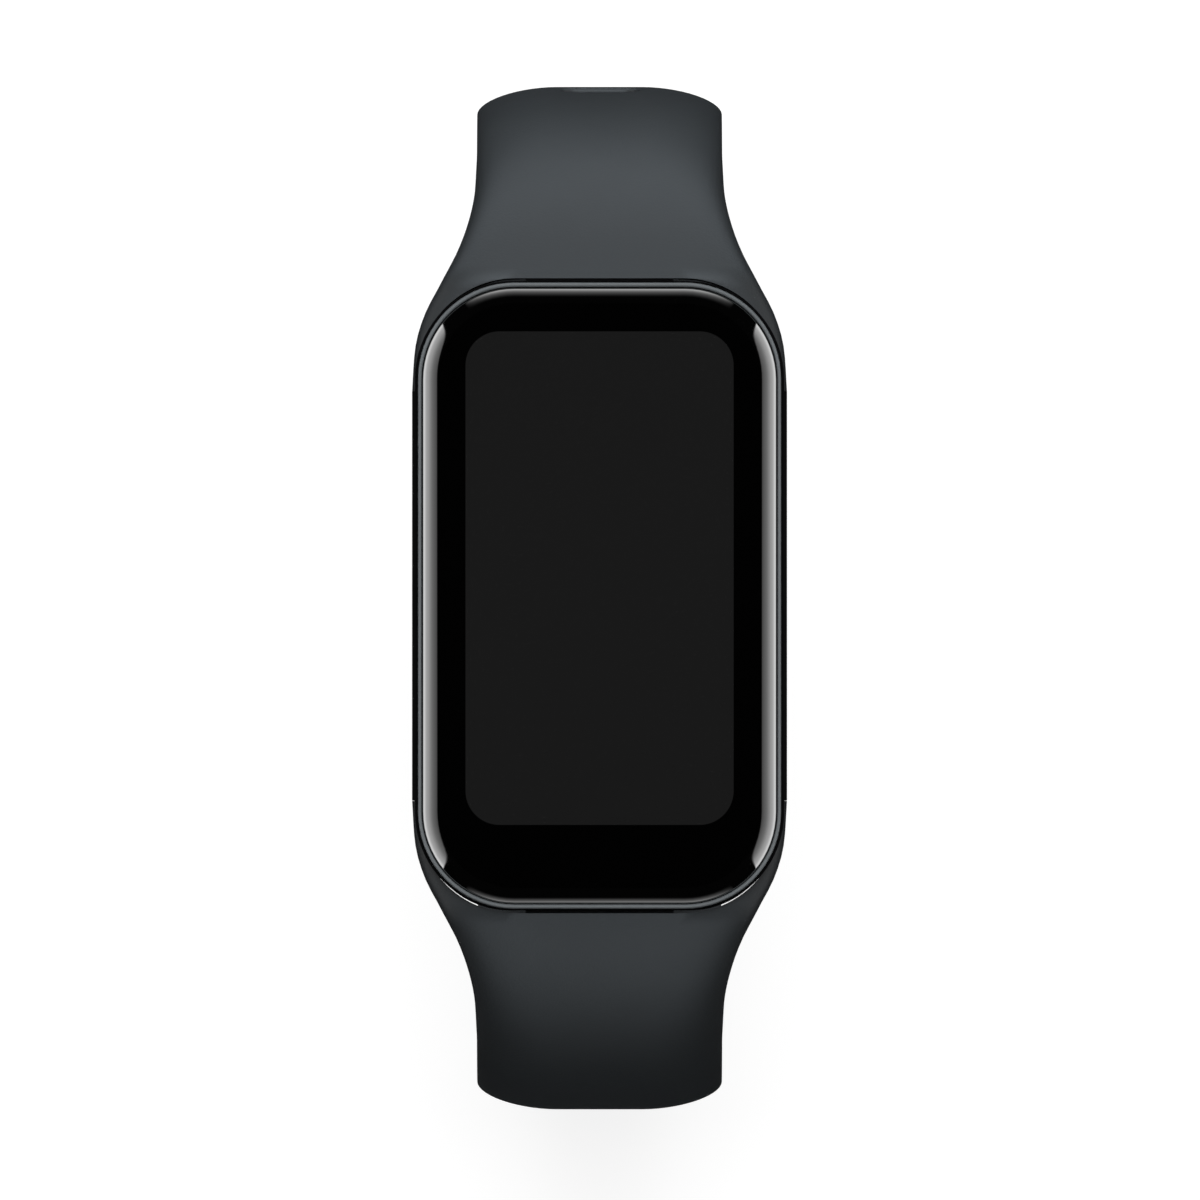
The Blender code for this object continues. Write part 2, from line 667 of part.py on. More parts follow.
def tail_route():
    """Lengths and turns of the tail strap's outer face: down the side, round, then flat."""
    side = math.radians(90 - LEAVE_ANGLE)
    round_length = ARC_RADIUS * (side + math.pi / 2)
    return (
        (ARC_RADIUS * side, ARC_RADIUS),
        (TAIL_DROP, None),
        (ARC_RADIUS * math.pi / 2, ARC_RADIUS),
        (TAIL_LENGTH - round_length - TAIL_DROP, None),
    )


def buckle_route():
    """Lengths and turns of the buckle strap's outer face: down the side, then a tighter curl."""
    side_length = ARC_RADIUS * math.radians(BUCKLE_CURL_FROM - LEAVE_ANGLE)
    return ((side_length, ARC_RADIUS), (BUCKLE_STRAP_LENGTH - side_length, BUCKLE_CURL_RADIUS))


def route_point(route, along):
    """The outer face's middle at a length from the case: y, z and the angle below level."""
    y, z, angle = STRAP_START, SEAM_Z, math.radians(LEAVE_ANGLE)
    for length, radius in route:
        step = min(along, length)
        if radius is None:
            y += step * math.cos(angle)
            z -= step * math.sin(angle)
        else:
            turned = angle + step / radius
            y += radius * (math.sin(turned) - math.sin(angle))
            z += radius * (math.cos(turned) - math.cos(angle))
            angle = turned
        along -= step
        if along <= 0:
            break
    return y, z, angle


def shoulder_half_width(y):
    """Half the strap's width at a distance from the case's middle, from the shoulder to the band."""
    share = min(max((y - SHOULDER_FROM) / SHOULDER_LENGTH, 0.0), 1.0)
    points = (SHOULDER_SHAPE[0], *SHOULDER_SHAPE, SHOULDER_SHAPE[-1])
    for before, low, high, after in zip(points, points[1:], points[2:], points[3:]):
        if share <= high[0] and high[0] > low[0]:
            break
    length = high[0] - low[0]
    local = (share - low[0]) / length
    rise_low = (high[1] - before[1]) / (high[0] - before[0]) * length if high[0] > before[0] else 0
    rise_high = (after[1] - low[1]) / (after[0] - low[0]) * length if after[0] > low[0] else 0
    extra = (
        low[1] * (1 + 2 * local) * (1 - local) ** 2 + rise_low * local * (1 - local) ** 2
        + high[1] * local * local * (3 - 2 * local) + rise_high * local * local * (local - 1)
    )
    narrow = STRAP_WIDTH / 2
    return narrow + (HALF_WIDTH - narrow) * extra


def section(half_width, thickness, crown, power, land):
    """A strap's cross-section as (across, depth): a flat land, a crown to each side, a flat back."""
    steps = 6
    edge = 0.25
    upper = []
    for index in range(steps + 1):
        turn = math.pi / 2 * index / steps
        across = land / 2 + (half_width - land / 2) * math.sin(turn) ** (2 / power)
        upper.append((across, crown * (1 - math.cos(turn) ** (2 / power))))
    side = [(half_width, thickness - edge), (half_width - edge, thickness)]
    right = upper + side
    left = [(-across, depth) for across, depth in reversed(right)]
    return right + left


def strap_ring(y, z, lean, half_width, thickness, blend, side):
    """A ring of the strap's skin; lean is the angle of its depth direction from straight down."""
    crown = STRAP_CROWN + (ROOT_CROWN - STRAP_CROWN) * (1 - blend)
    power = CROWN_POWER + 2.0 * (1 - blend)
    land = min(STRAP_LAND, 1.2 * half_width)
    ring = []
    for across, depth in section(half_width, thickness, crown, power, land):
        ring.append((across, side * (y - depth * math.sin(lean)), z - depth * math.cos(lean)))
    return ring


def shoulder_rings(side):
    """Upright rings beside the case, where the strap wraps its rounded end."""
    rings = []
    count = 7
    for index in range(count):
        y = SHOULDER_FROM + (STRAP_START - SHOULDER_FROM) * index / count
        rings.append(strap_ring(y, SEAM_Z, 0.0, shoulder_half_width(y), ROOT_THICKNESS, 0.0, side))
    return rings


def band_rings(route, stations, side, tip=None):
    """Rings along the band: the root's depth fades into the band's, and a tip may be rounded."""
    rings = []
    for along in stations:
        y, z, angle = route_point(route, along)
        blend = smooth(along / ROOT_LENGTH)
        lean = angle * smooth(along / (0.65 * ROOT_LENGTH))
        thickness = ROOT_THICKNESS + (STRAP_THICKNESS - ROOT_THICKNESS) * blend ** 0.6
        half_width = shoulder_half_width(y) if along < ROOT_LENGTH * 1.5 else STRAP_WIDTH / 2
        if tip and along > tip - TIP_ROUNDING:
            over = (along - tip + TIP_ROUNDING) / TIP_ROUNDING
            half_width *= max(math.sqrt(max(1 - over * over, 0)), 0.42)
        rings.append(strap_ring(y, z, lean, half_width, thickness, blend, side))
    return rings


def spread(start, stop, step):
    count = max(int(math.ceil((stop - start) / step)), 1)
    return [start + (stop - start) * index / count for index in range(count)]


def fit_strap_root(strap, side):
    """Cuts the strap to the case's rounded end, and opens its inner side for the release."""
    name = "tail" if side > 0 else "buckle"
    combine(strap, object_from(f"cut_case_{name}", core_outline_mesh(SEAM + 0.05, -20, 20)))
    low_y, high_y = sorted((side * (HALF_LENGTH - 2), side * (HALF_LENGTH + CONNECTOR_REACH + SLIDE_GAP)))
    half = CONNECTOR_WIDTH / 2 + SLIDE_GAP
    pocket = in_case((-half, low_y, -6), (half, high_y, CONNECTOR_LIFT + CONNECTOR_HEIGHT + SLIDE_GAP))
    combine(strap, object_from(f"cut_release_{name}", pocket))


def flex_axis(side):
    """Where a strap starts to bend: the top of its seam with the case."""
    return (0.0, side * STRAP_START, SEAM_Z + 0.1)


def make_tail_strap():
    route = tail_route()
    stations = spread(0, ROOT_LENGTH, 2) + spread(ROOT_LENGTH, TAIL_LENGTH - TIP_ROUNDING, 3.2)
    stations += [TAIL_LENGTH - TIP_ROUNDING * (1 - share) for share in (0.0, 0.35, 0.6, 0.78, 0.9)]
    rings = shoulder_rings(1) + band_rings(route, stations, 1, TAIL_LENGTH)
    strap = object_from("tail_strap", loft_mesh(rings), SOFT_STRAP, flex_axis(1))
    fit_strap_root(strap, 1)
    for index in range(SLOT_COUNT):
        y, z, angle = route_point(route, SLOT_FIRST + SLOT_PITCH * index)
        combine(strap, make_slot(index, y, z, angle))


def make_slot(index, y, z, angle):
    """A wide pill-shaped hole through the strap, across its length."""
    points = outline(SLOT_WIDTH / 2, SLOT_HEIGHT / 2, SLOT_HEIGHT / 2, 4)
    deep = 2 * STRAP_THICKNESS
    unique = []
    for point in points:
        if not unique or (Vector(point) - Vector(unique[-1])).length > 0.02:
            unique.append(point)
    if (Vector(unique[0]) - Vector(unique[-1])).length < 0.02:
        unique.pop()
    cutter = loft_mesh([[(x, v, depth) for x, v in unique] for depth in (-deep, deep)])
    turn = Matrix.Translation((0, y, z)) @ Matrix.Rotation(-angle, 4, "X")
    bmesh.ops.transform(cutter, matrix=turn, verts=cutter.verts)
    return object_from(f"cut_slot_{index:02d}", cutter)


def pin_place():
    """The buckle pin's centre, in the middle of the buckle strap's end."""
    y, z, angle = route_point(buckle_route(), BUCKLE_STRAP_LENGTH)
    half = STRAP_THICKNESS / 2
    return -(y - half * math.sin(angle)), z - half * math.cos(angle)


def curl_centre():
    """The centre of the buckle strap's tighter curl, which the keeper slides about."""
    y, z, angle = route_point(buckle_route(), BUCKLE_STRAP_LENGTH)
    reach = BUCKLE_CURL_RADIUS
    return -(y - reach * math.sin(angle)), z - reach * math.cos(angle)


def make_buckle_strap():
    route = buckle_route()
    stations = spread(0, ROOT_LENGTH, 2) + spread(ROOT_LENGTH, BUCKLE_STRAP_LENGTH, 2.4)
    stations.append(BUCKLE_STRAP_LENGTH)
    rings = shoulder_rings(-1) + band_rings(route, stations, -1)
    strap = object_from("buckle_strap", loft_mesh(rings), SOFT_STRAP, flex_axis(-1))
    fit_strap_root(strap, -1)
    pin = (0.0, *pin_place())
    knuckle = rod_mesh(pin, KNUCKLE_RADIUS, STRAP_WIDTH - 2 * RUNNING, "X")
    combine(strap, object_from("strap_knuckle", knuckle), "UNION")
    notch = rod_mesh(pin, KNUCKLE_RADIUS + 2.0, TONGUE_WIDTH + 4 * SLIDE_GAP, "X", 32)
    combine(strap, object_from("cut_tongue_notch", notch))
    bore = rod_mesh(pin, PIN_RADIUS + RUNNING, STRAP_WIDTH + 4, "X")
    combine(strap, object_from("cut_pin_bore", bore))


# --- buckle and keeper ---------------------------------------------------------------------------
def make_buckle():
    pin_y, pin_z = pin_place()
    inner = STRAP_WIDTH / 2 + SLIDE_GAP
    outer = inner + FRAME_ARM
    half_z = FRAME_THICKNESS / 2
    back = -KNUCKLE_RADIUS - 0.3
    middle = (FRAME_REACH + back) / 2
    half_y = (FRAME_REACH - back) / 2
    rings = []
    for height, inset in ((-half_z, 0.45), (-half_z + 0.45, 0.0), (half_z - 0.45, 0.0), (half_z, 0.45)):
        rings.append([
            (x, y + pin_y + middle, pin_z + height)
            for x, y in outline(outer - inset, half_y - inset, 3.0 - inset, 6)
        ])
    pin = (0.0, pin_y, pin_z)
    frame = object_from("buckle_frame", loft_mesh(rings), BUCKLE_PLASTIC, pin)
    window = box_mesh(
        (-inner, pin_y - 8, pin_z - 4), (inner, pin_y + FRAME_REACH - FRAME_BAR, pin_z + 4))
    combine(frame, object_from("cut_buckle_window", window))
    pin_length = 2 * (outer - 0.6)
    bore = rod_mesh(pin, PIN_RADIUS + GAP, pin_length + 2 * GAP, "X")
    combine(frame, object_from("cut_frame_bore", bore))
    object_from("buckle_pin", rod_mesh(pin, PIN_RADIUS, pin_length, "X"), STEEL, pin)
    make_tongue(pin)


def make_tongue(pin):
    _, pin_y, pin_z = pin
    half = TONGUE_WIDTH / 2
    top = pin_z - FRAME_THICKNESS / 2 - RUNNING
    blade = box_mesh(
        (-half, pin_y + 0.4, top - TONGUE_THICKNESS), (half, pin_y + FRAME_REACH - 0.3, top), 0.2)
    tongue = object_from("buckle_tongue", blade, BUCKLE_PLASTIC, pin)
    knuckle = rod_mesh(pin, KNUCKLE_RADIUS, TONGUE_WIDTH, "X")
    combine(tongue, object_from("tongue_knuckle", knuckle), "UNION")
    web = box_mesh((-half + 0.2, pin_y + 0.3, top - 0.5), (half - 0.2, pin_y + 3.0, pin_z - 0.4))
    combine(tongue, object_from("tongue_web", web), "UNION")
    bore = rod_mesh(pin, PIN_RADIUS + RUNNING, TONGUE_WIDTH + 4, "X")
    combine(tongue, object_from("cut_tongue_bore", bore))


def make_keeper():
    """A loop round the buckle strap that leaves room for the tail to pass under it."""
    centre_y, centre_z = curl_centre()
    route = buckle_route()
    y, z, _ = route_point(route, BUCKLE_STRAP_LENGTH - KEEPER_BACK)
    outward = Vector((0, -y - centre_y, z - centre_z)).normalized()
    inner_low = BUCKLE_CURL_RADIUS - STRAP_THICKNESS - KEEPER_GAP
    inner_high = BUCKLE_CURL_RADIUS + STRAP_THICKNESS + KEEPER_GAP
    half = STRAP_WIDTH / 2 + KEEPER_GAP / 2
    along = Vector((1, 0, 0)).cross(outward)

    def loop(grow, reach, name, finish=None):
        points = outline(half + grow, (inner_high - inner_low) / 2 + grow, 0.9 + grow, 4)
        rings = [
            [Vector((0, centre_y, centre_z)) + Vector((x, 0, 0))
             + outward * ((inner_high + inner_low) / 2 + v) + along * shift for x, v in points]
            for shift in (-reach, reach)
        ]
        origin = (0.0, centre_y, centre_z) if finish else (0.0, 0.0, 0.0)
        return object_from(name, loft_mesh(rings), finish, origin)

    keeper = loop(KEEPER_WALL, KEEPER_WIDTH / 2, "keeper_loop", SOFT_STRAP)
    combine(keeper, loop(0.0, KEEPER_WIDTH, "cut_keeper_hole"))


def main():
    make_case_frame()
    make_glass()
    make_glass_bond()
    make_display()
    make_chassis()
    make_board()
    make_battery()
    make_back()
    make_sensor()
    for side in (1, -1):
        make_release(side)
    make_tail_strap()
    make_buckle_strap()
    make_buckle()
    make_keeper()


clear_scene()
PARTS = new_collection("fitness_tracker_band")
CUTTERS = new_collection("cutters")
main()
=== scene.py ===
"""The looks of a fitness tracker band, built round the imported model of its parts.

The display faces up, the tail strap leaves the case towards +Y and the buckle strap towards -Y.
Pieces are modelled in millimetres in the model's own frame, and scaled to metres when finished.
"""

import logging
import math
from collections.abc import Sequence
from dataclasses import dataclass
from enum import Enum
from functools import cache

import bmesh
import bpy
from mathutils import Matrix, Vector


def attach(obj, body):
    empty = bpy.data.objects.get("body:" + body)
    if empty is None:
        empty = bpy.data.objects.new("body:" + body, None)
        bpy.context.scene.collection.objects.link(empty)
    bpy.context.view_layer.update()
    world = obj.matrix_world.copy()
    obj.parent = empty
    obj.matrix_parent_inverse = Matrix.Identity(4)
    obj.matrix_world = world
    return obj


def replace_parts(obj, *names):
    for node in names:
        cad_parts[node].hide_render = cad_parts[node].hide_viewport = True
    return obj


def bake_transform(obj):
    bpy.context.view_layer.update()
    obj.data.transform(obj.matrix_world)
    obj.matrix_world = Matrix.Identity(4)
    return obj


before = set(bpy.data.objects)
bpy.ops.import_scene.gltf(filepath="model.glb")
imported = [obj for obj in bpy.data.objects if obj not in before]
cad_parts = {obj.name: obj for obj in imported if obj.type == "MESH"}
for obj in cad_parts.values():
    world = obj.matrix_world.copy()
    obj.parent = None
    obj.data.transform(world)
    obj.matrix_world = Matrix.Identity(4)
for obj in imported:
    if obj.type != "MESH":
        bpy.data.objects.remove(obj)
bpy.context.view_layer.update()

MM = 0.001
SHARP_ANGLE = 38.0
SOFT_ANGLE = 60.0
BUCKLE_ANGLE = 50.0
LEVEL = 0.01
LOG = logging.getLogger("band")

Point = tuple[float, float, float]


class Side(Enum):
    """Which strap or end of the case a piece belongs to."""

    TAIL = 1
    BUCKLE = -1


class RayKind(Enum):
    """The kinds of ray that the surroundings answer differently."""

    CAMERA = "Is Camera Ray"
    GLOSSY = "Is Glossy Ray"


# --- shader nodes ---------------------------------------------------------------------------------
class Nodes:
    """Adds shader nodes to one tree and joins them."""

    def __init__(self, tree: bpy.types.NodeTree) -> None:
        """Starts on a tree.

        Args:
            tree: The material's, world's or group's node tree.
        """
        self.tree = tree

    def add(self, kind: str, **settings: object) -> bpy.types.Node:
        """Adds a node.

        Args:
            kind: The node's type name without its ShaderNode prefix.
            settings: Properties to set on the node.

        Returns:
            The new node.
        """
        made = self.tree.nodes.new(kind if kind.startswith("Node") else f"ShaderNode{kind}")
        for name, value in settings.items():
            setattr(made, name, value)
        return made

    def feed(self, socket: bpy.types.NodeSocket, source: object) -> None:
        """Gives a socket a link or a constant.

        Args:
            socket: The input to feed.
            source: An output socket, or a value.
        """
        if isinstance(source, bpy.types.NodeSocket):
            self.tree.links.new(source, socket)
        else:
            socket.default_value = source

    def math(self, operation: str, *sources: object, clamp: bool = False) -> bpy.types.NodeSocket:
        """Adds a Math node.

        Args:
            operation: What it works out.
            sources: Its numbers or sockets.
            clamp: Whether the result is kept between 0 and 1.

        Returns:
            Its result.
        """
        made = self.add("Math", operation=operation, use_clamp=clamp)
        for socket, source in zip(made.inputs, sources):
            self.feed(socket, source)
        return made.outputs[0]

    def vector(self, operation: str, *sources: object) -> bpy.types.NodeSocket:
        """Adds a Vector Math node.

        Args:
            operation: What it works out.
            sources: Its vectors or sockets.

        Returns:
            Its vector.
        """
        made = self.add("VectorMath", operation=operation)
        for socket, source in zip(made.inputs, sources):
            self.feed(socket, source)
        return made.outputs["Vector"]

    def mix(self, factor: object, first: object, second: object) -> bpy.types.NodeSocket:
        """Adds a colour Mix node.

        Args:
            factor: The share of the second colour.
            first: The first colour.
            second: The second colour.

        Returns:
            The mixed colour.
        """
        made = self.add("Mix", data_type="RGBA")
        for socket, source in zip((made.inputs[0], made.inputs[6], made.inputs[7]), (factor, first, second)):
            self.feed(socket, source)
        return made.outputs[2]

    def remap(
        self, source: object, low: float, high: float, to_low: float, to_high: float,
    ) -> bpy.types.NodeSocket:
        """Adds a clamped Map Range node.

        Args:
            source: The value to carry over.
            low: Where the old range starts.
            high: Where it ends.
            to_low: Where the new range starts.
            to_high: Where it ends.

        Returns:
            Its result.
        """
        made = self.add("MapRange")
        for socket, value in zip(made.inputs, (source, low, high, to_low, to_high)):
            self.feed(socket, value)
        return made.outputs[0]

    def noise(
        self, where: object, size: object, detail: float = 2.0, rough: float = 0.5,
    ) -> bpy.types.NodeSocket:
        """Adds a noise.

        Args:
            where: The coordinates.
            size: The size of its patches in metres.
            detail: How many finer layers it has.
            rough: How strong the finer layers are.

        Returns:
            Its value.
        """
        made = self.add("TexNoise")
        self.feed(made.inputs["Vector"], where)
        self.feed(made.inputs["Scale"], self.math("DIVIDE", 1.0, size))
        made.inputs["Detail"].default_value = detail
        made.inputs["Roughness"].default_value = rough
        return made.outputs[0]

    def group(self, tree: bpy.types.NodeTree, **values: object) -> bpy.types.Node:
        """Places a node group.

        Args:
            tree: The group.
            values: What to feed its inputs, by name with underscores for spaces.

        Returns:
            The group's node.
        """
        made = self.add("Group", node_tree=tree)
        for name, value in values.items():
            self.feed(made.inputs[name.replace("_", " ")], value)
        return made


class Effects:
    """The shader effects that several finishes share, each a node group built once."""

    @staticmethod
    def _open(name: str, inputs: Sequence[tuple], outputs: Sequence[tuple]) -> tuple:
        """Starts a group.

        Args:
            name: The group's name.
            inputs: Name, socket kind and default of each input.
            outputs: Name and socket kind of each output.

        Returns:
            The node maker, the group's input node and its output node.
        """
        tree = bpy.data.node_groups.new(name, "ShaderNodeTree")
        for label, kind, default in inputs:
            socket = tree.interface.new_socket(name=label, in_out="INPUT", socket_type=f"NodeSocket{kind}")
            socket.default_value = default
        for label, kind in outputs:
            tree.interface.new_socket(name=label, in_out="OUTPUT", socket_type=f"NodeSocket{kind}")
        nodes = Nodes(tree)
        return nodes, nodes.add("NodeGroupInput"), nodes.add("NodeGroupOutput")

    @classmethod
    @cache
    def tone(cls) -> bpy.types.NodeTree:
        """A colour that drifts a little lighter and darker over the surface, with fine mottling.

        Returns:
            The group.
        """
        nodes, given, result = cls._open(
            "tone_drift",
            (("Color", "Color", (0.5, 0.5, 0.5, 1)), ("Size", "Float", 0.01), ("Amount", "Float", 0.1)),
            (("Color", "Color"),))
        where = nodes.add("TexCoord").outputs["Object"]
        broad = nodes.noise(where, given.outputs["Size"], 3.0)
        fine = nodes.noise(where, nodes.math("MULTIPLY", given.outputs["Size"], 0.04), 2.0)
        drift = nodes.math("ADD", nodes.math("MULTIPLY", broad, 0.7), nodes.math("MULTIPLY", fine, 0.3))
        swing = nodes.math("MULTIPLY", nodes.math("SUBTRACT", drift, 0.5), given.outputs["Amount"])
        factor = nodes.math("ADD", 1.0, nodes.math("MULTIPLY", swing, 2.0))
        tint = nodes.vector("SCALE", given.outputs["Color"])
        nodes.feed(tint.node.inputs["Scale"], factor)
        nodes.feed(result.inputs["Color"], tint)
        return nodes.tree

    @classmethod
    @cache
    def grain(cls) -> bpy.types.NodeTree:
        """The height of a moulded or blasted surface: fine round grains over a slow unevenness.

        Returns:
            The group.
        """
        nodes, given, result = cls._open(
            "moulded_grain",
            (("Size", "Float", 0.0002), ("Unevenness", "Float", 0.3)),
            (("Height", "Float"),))
        where = nodes.add("TexCoord").outputs["Object"]
        cells = nodes.add("TexVoronoi", feature="SMOOTH_F1")
        nodes.feed(cells.inputs["Vector"], where)
        nodes.feed(cells.inputs["Scale"], nodes.math("DIVIDE", 1.0, given.outputs["Size"]))
        broad = nodes.noise(where, nodes.math("MULTIPLY", given.outputs["Size"], 9.0), 2.0)
        height = nodes.math(
            "ADD", cells.outputs["Distance"], nodes.math("MULTIPLY", broad, given.outputs["Unevenness"]))
        nodes.feed(result.inputs["Height"], height)
        return nodes.tree

    @classmethod
    @cache
    def roughness(cls) -> bpy.types.NodeTree:
        """A roughness that varies in soft patches, as handling and moulding leave it.

        Returns:
            The group.
        """
        nodes, given, result = cls._open(
            "roughness_drift",
            (("Roughness", "Float", 0.5), ("Size", "Float", 0.004), ("Amount", "Float", 0.1)),
            (("Roughness", "Float"),))
        where = nodes.add("TexCoord").outputs["Object"]
        patch = nodes.noise(where, given.outputs["Size"], 4.0, 0.6)
        swing = nodes.math("MULTIPLY", nodes.math("SUBTRACT", patch, 0.5), given.outputs["Amount"])
        nodes.feed(result.inputs["Roughness"], nodes.math("ADD", given.outputs["Roughness"], swing, clamp=True))
        return nodes.tree

    @classmethod
    @cache
    def dust(cls) -> bpy.types.NodeTree:
        """Sparse specks of dust as a mask.

        Returns:
            The group.
        """
        nodes, given, result = cls._open(
            "dust_specks",
            (("Size", "Float", 0.0006), ("Amount", "Float", 0.1)),
            (("Mask", "Float"),))
        where = nodes.add("TexCoord").outputs["Object"]
        cells = nodes.add("TexVoronoi", feature="F1")
        nodes.feed(cells.inputs["Vector"], where)
        nodes.feed(cells.inputs["Scale"], nodes.math("DIVIDE", 1.0, given.outputs["Size"]))
        speck = nodes.remap(cells.outputs["Distance"], 0.06, 0.1, 1.0, 0.0)
        lottery = nodes.add("SeparateColor")
        nodes.feed(lottery.inputs[0], cells.outputs["Color"])
        chosen = nodes.math("LESS_THAN", lottery.outputs[0], given.outputs["Amount"])
        nodes.feed(result.inputs["Mask"], nodes.math("MULTIPLY", speck, chosen))
        return nodes.tree

    @classmethod
    @cache
    def wear(cls) -> bpy.types.NodeTree:
        """Where outer edges are rubbed, as a mask broken up by noise.

        Returns:
            The group.
        """
        nodes, given, result = cls._open(
            "edge_wear",
            (("Size", "Float", 0.0008), ("Amount", "Float", 0.2)),
            (("Mask", "Float"),))
        point = nodes.add("NewGeometry").outputs["Pointiness"]
        edge = nodes.remap(point, 0.53, 0.6, 0.0, 1.0)
        broken = nodes.noise(nodes.add("TexCoord").outputs["Object"], given.outputs["Size"], 3.0)
        nodes.feed(result.inputs["Mask"], nodes.math(
            "MULTIPLY", nodes.math("MULTIPLY", edge, broken), given.outputs["Amount"]))
        return nodes.tree

    @classmethod
    @cache
    def window(cls) -> bpy.types.NodeTree:
        """The inside of an upright rounded rectangle seen along Z, as a mask with a crisp edge.

        Returns:
            The group.
        """
        nodes, given, result = cls._open(
            "rounded_window",
            (("Centre", "Vector", (0, 0, 0)), ("Half Size", "Vector", (0.01, 0.01, 0)),
             ("Corner", "Float", 0.002), ("Edge", "Float", 0.00004)),
            (("Mask", "Float"),))
        where = nodes.vector("SUBTRACT", nodes.add("TexCoord").outputs["Object"], given.outputs["Centre"])
        folded = nodes.vector("SUBTRACT", nodes.vector("ABSOLUTE", where), given.outputs["Half Size"])
        parts = nodes.add("SeparateXYZ")
        nodes.feed(parts.inputs[0], folded)
        out_x = nodes.math("MAXIMUM", nodes.math("ADD", parts.outputs[0], given.outputs["Corner"]), 0.0)
        out_y = nodes.math("MAXIMUM", nodes.math("ADD", parts.outputs[1], given.outputs["Corner"]), 0.0)
        square = nodes.math("ADD", nodes.math("MULTIPLY", out_x, out_x), nodes.math("MULTIPLY", out_y, out_y))
        beyond = nodes.math("SUBTRACT", nodes.math("SQRT", square), given.outputs["Corner"])
        share = nodes.math("DIVIDE", beyond, given.outputs["Edge"])
        nodes.feed(result.inputs["Mask"], nodes.remap(share, -0.5, 0.5, 1.0, 0.0))
        return nodes.tree


# --- finishes -------------------------------------------------------------------------------------
@dataclass(frozen=True)
class Finish:
    """A surface finish: one Principled shader fed by the shared effects. Sizes are in metres."""

    name: str
    colour: tuple[float, float, float]
    rough: float
    metal: float = 0.0
    ior: float = 1.5
    specular: float = 0.5
    coat: float = 0.0
    coat_rough: float = 0.1
    sheen: float = 0.0
    tone_size: float = 0.008
    tone_amount: float = 0.08
    rough_amount: float = 0.08
    grain_size: float = 0.0003
    grain_depth: float = 0.0
    unevenness: float = 0.4
    dust_size: float = 0.0007
    dust_strength: float = 0.5
    dust_amount: float = 0.0
    dust_colour: tuple[float, float, float] = (0.35, 0.34, 0.32)
    wear_size: float = 0.0008
    wear_amount: float = 0.0
    wear_colour: tuple[float, float, float] = (0.2, 0.2, 0.2)

    def material(self) -> bpy.types.Material:
        """The finish's material, made on first use."""
        return bpy.data.materials.get(f"finish_{self.name}") or self._build()

    def colour_source(self, nodes: Nodes) -> bpy.types.NodeSocket:
        """The base colour before dust and wear.

        Args:
            nodes: The material's nodes.

        Returns:
            The colour.
        """
        return nodes.group(
            Effects.tone(), Color=(*self.colour, 1.0), Size=self.tone_size, Amount=self.tone_amount).outputs[0]

    def roughness_source(self, nodes: Nodes) -> bpy.types.NodeSocket:
        """The roughness with its soft patches.

        Args:
            nodes: The material's nodes.

        Returns:
            The roughness.
        """
        return nodes.group(
            Effects.roughness(), Roughness=self.rough, Size=self.tone_size / 2, Amount=self.rough_amount
        ).outputs[0]

    def height_source(self, nodes: Nodes) -> bpy.types.NodeSocket:
        """The surface's height, in shares of the grain's depth."""
        return nodes.group(Effects.grain(), Size=self.grain_size, Unevenness=self.unevenness).outputs[0]

    def _build(self) -> bpy.types.Material:
        """Makes the material.

        Returns:
            The new material.
        """
        made = bpy.data.materials.new(f"finish_{self.name}")
        made.use_nodes = True
        nodes = Nodes(made.node_tree)
        shader = made.node_tree.nodes["Principled BSDF"]
        for label, value in (
            ("Metallic", self.metal), ("IOR", self.ior), ("Specular IOR Level", self.specular),
            ("Coat Weight", self.coat), ("Coat Roughness", self.coat_rough), ("Sheen Weight", self.sheen),
        ):
            shader.inputs[label].default_value = value
        colour = self.colour_source(nodes)
        if self.wear_amount:
            mask = nodes.group(Effects.wear(), Size=self.wear_size, Amount=self.wear_amount).outputs[0]
            colour = nodes.mix(mask, colour, (*self.wear_colour, 1.0))
        if self.dust_amount:
            mask = nodes.group(Effects.dust(), Size=self.dust_size, Amount=self.dust_amount).outputs[0]
            colour = nodes.mix(
                nodes.math("MULTIPLY", mask, self.dust_strength), colour, (*self.dust_colour, 1.0))
        nodes.feed(shader.inputs["Base Color"], colour)
        nodes.feed(shader.inputs["Roughness"], self.roughness_source(nodes))
        if self.grain_depth:
            bump = nodes.add("Bump")
            bump.inputs["Distance"].default_value = self.grain_depth
            nodes.feed(bump.inputs["Height"], self.height_source(nodes))
            nodes.feed(shader.inputs["Normal"], bump.outputs[0])
        return made


@dataclass(frozen=True)
class WindowedFinish(Finish):
    """A printed glass: the ink's colour all over, and another inside one or more rounded windows."""

    windows: tuple[tuple[Point, Point, float, tuple[float, float, float]], ...] = ()
    window_edge: float = 0.00004

    def colour_source(self, nodes: Nodes) -> bpy.types.NodeSocket:
        """The print's colour with each window's own colour laid in.

        Args:
            nodes: The material's nodes.

        Returns:
            The colour.
        """
        colour = super().colour_source(nodes)
        for centre, half, corner, inside in self.windows:
            mask = nodes.group(
                Effects.window(), Centre=centre, Half_Size=half, Corner=corner, Edge=self.window_edge,
            ).outputs[0]
            colour = nodes.mix(mask, colour, (*inside, 1.0))
        return colour


@dataclass(frozen=True)
class BrushedFinish(Finish):
    """A metal with fine lines along one direction."""

    along: Point = (1.0, 40.0, 40.0)
    line_length: float = 20.0

    def height_source(self, nodes: Nodes) -> bpy.types.NodeSocket:
        """Long thin scratches."""
        where = nodes.vector("MULTIPLY", nodes.add("TexCoord").outputs["Object"], self.along)
        return nodes.noise(where, self.grain_size * self.line_length, 4.0, 0.7)


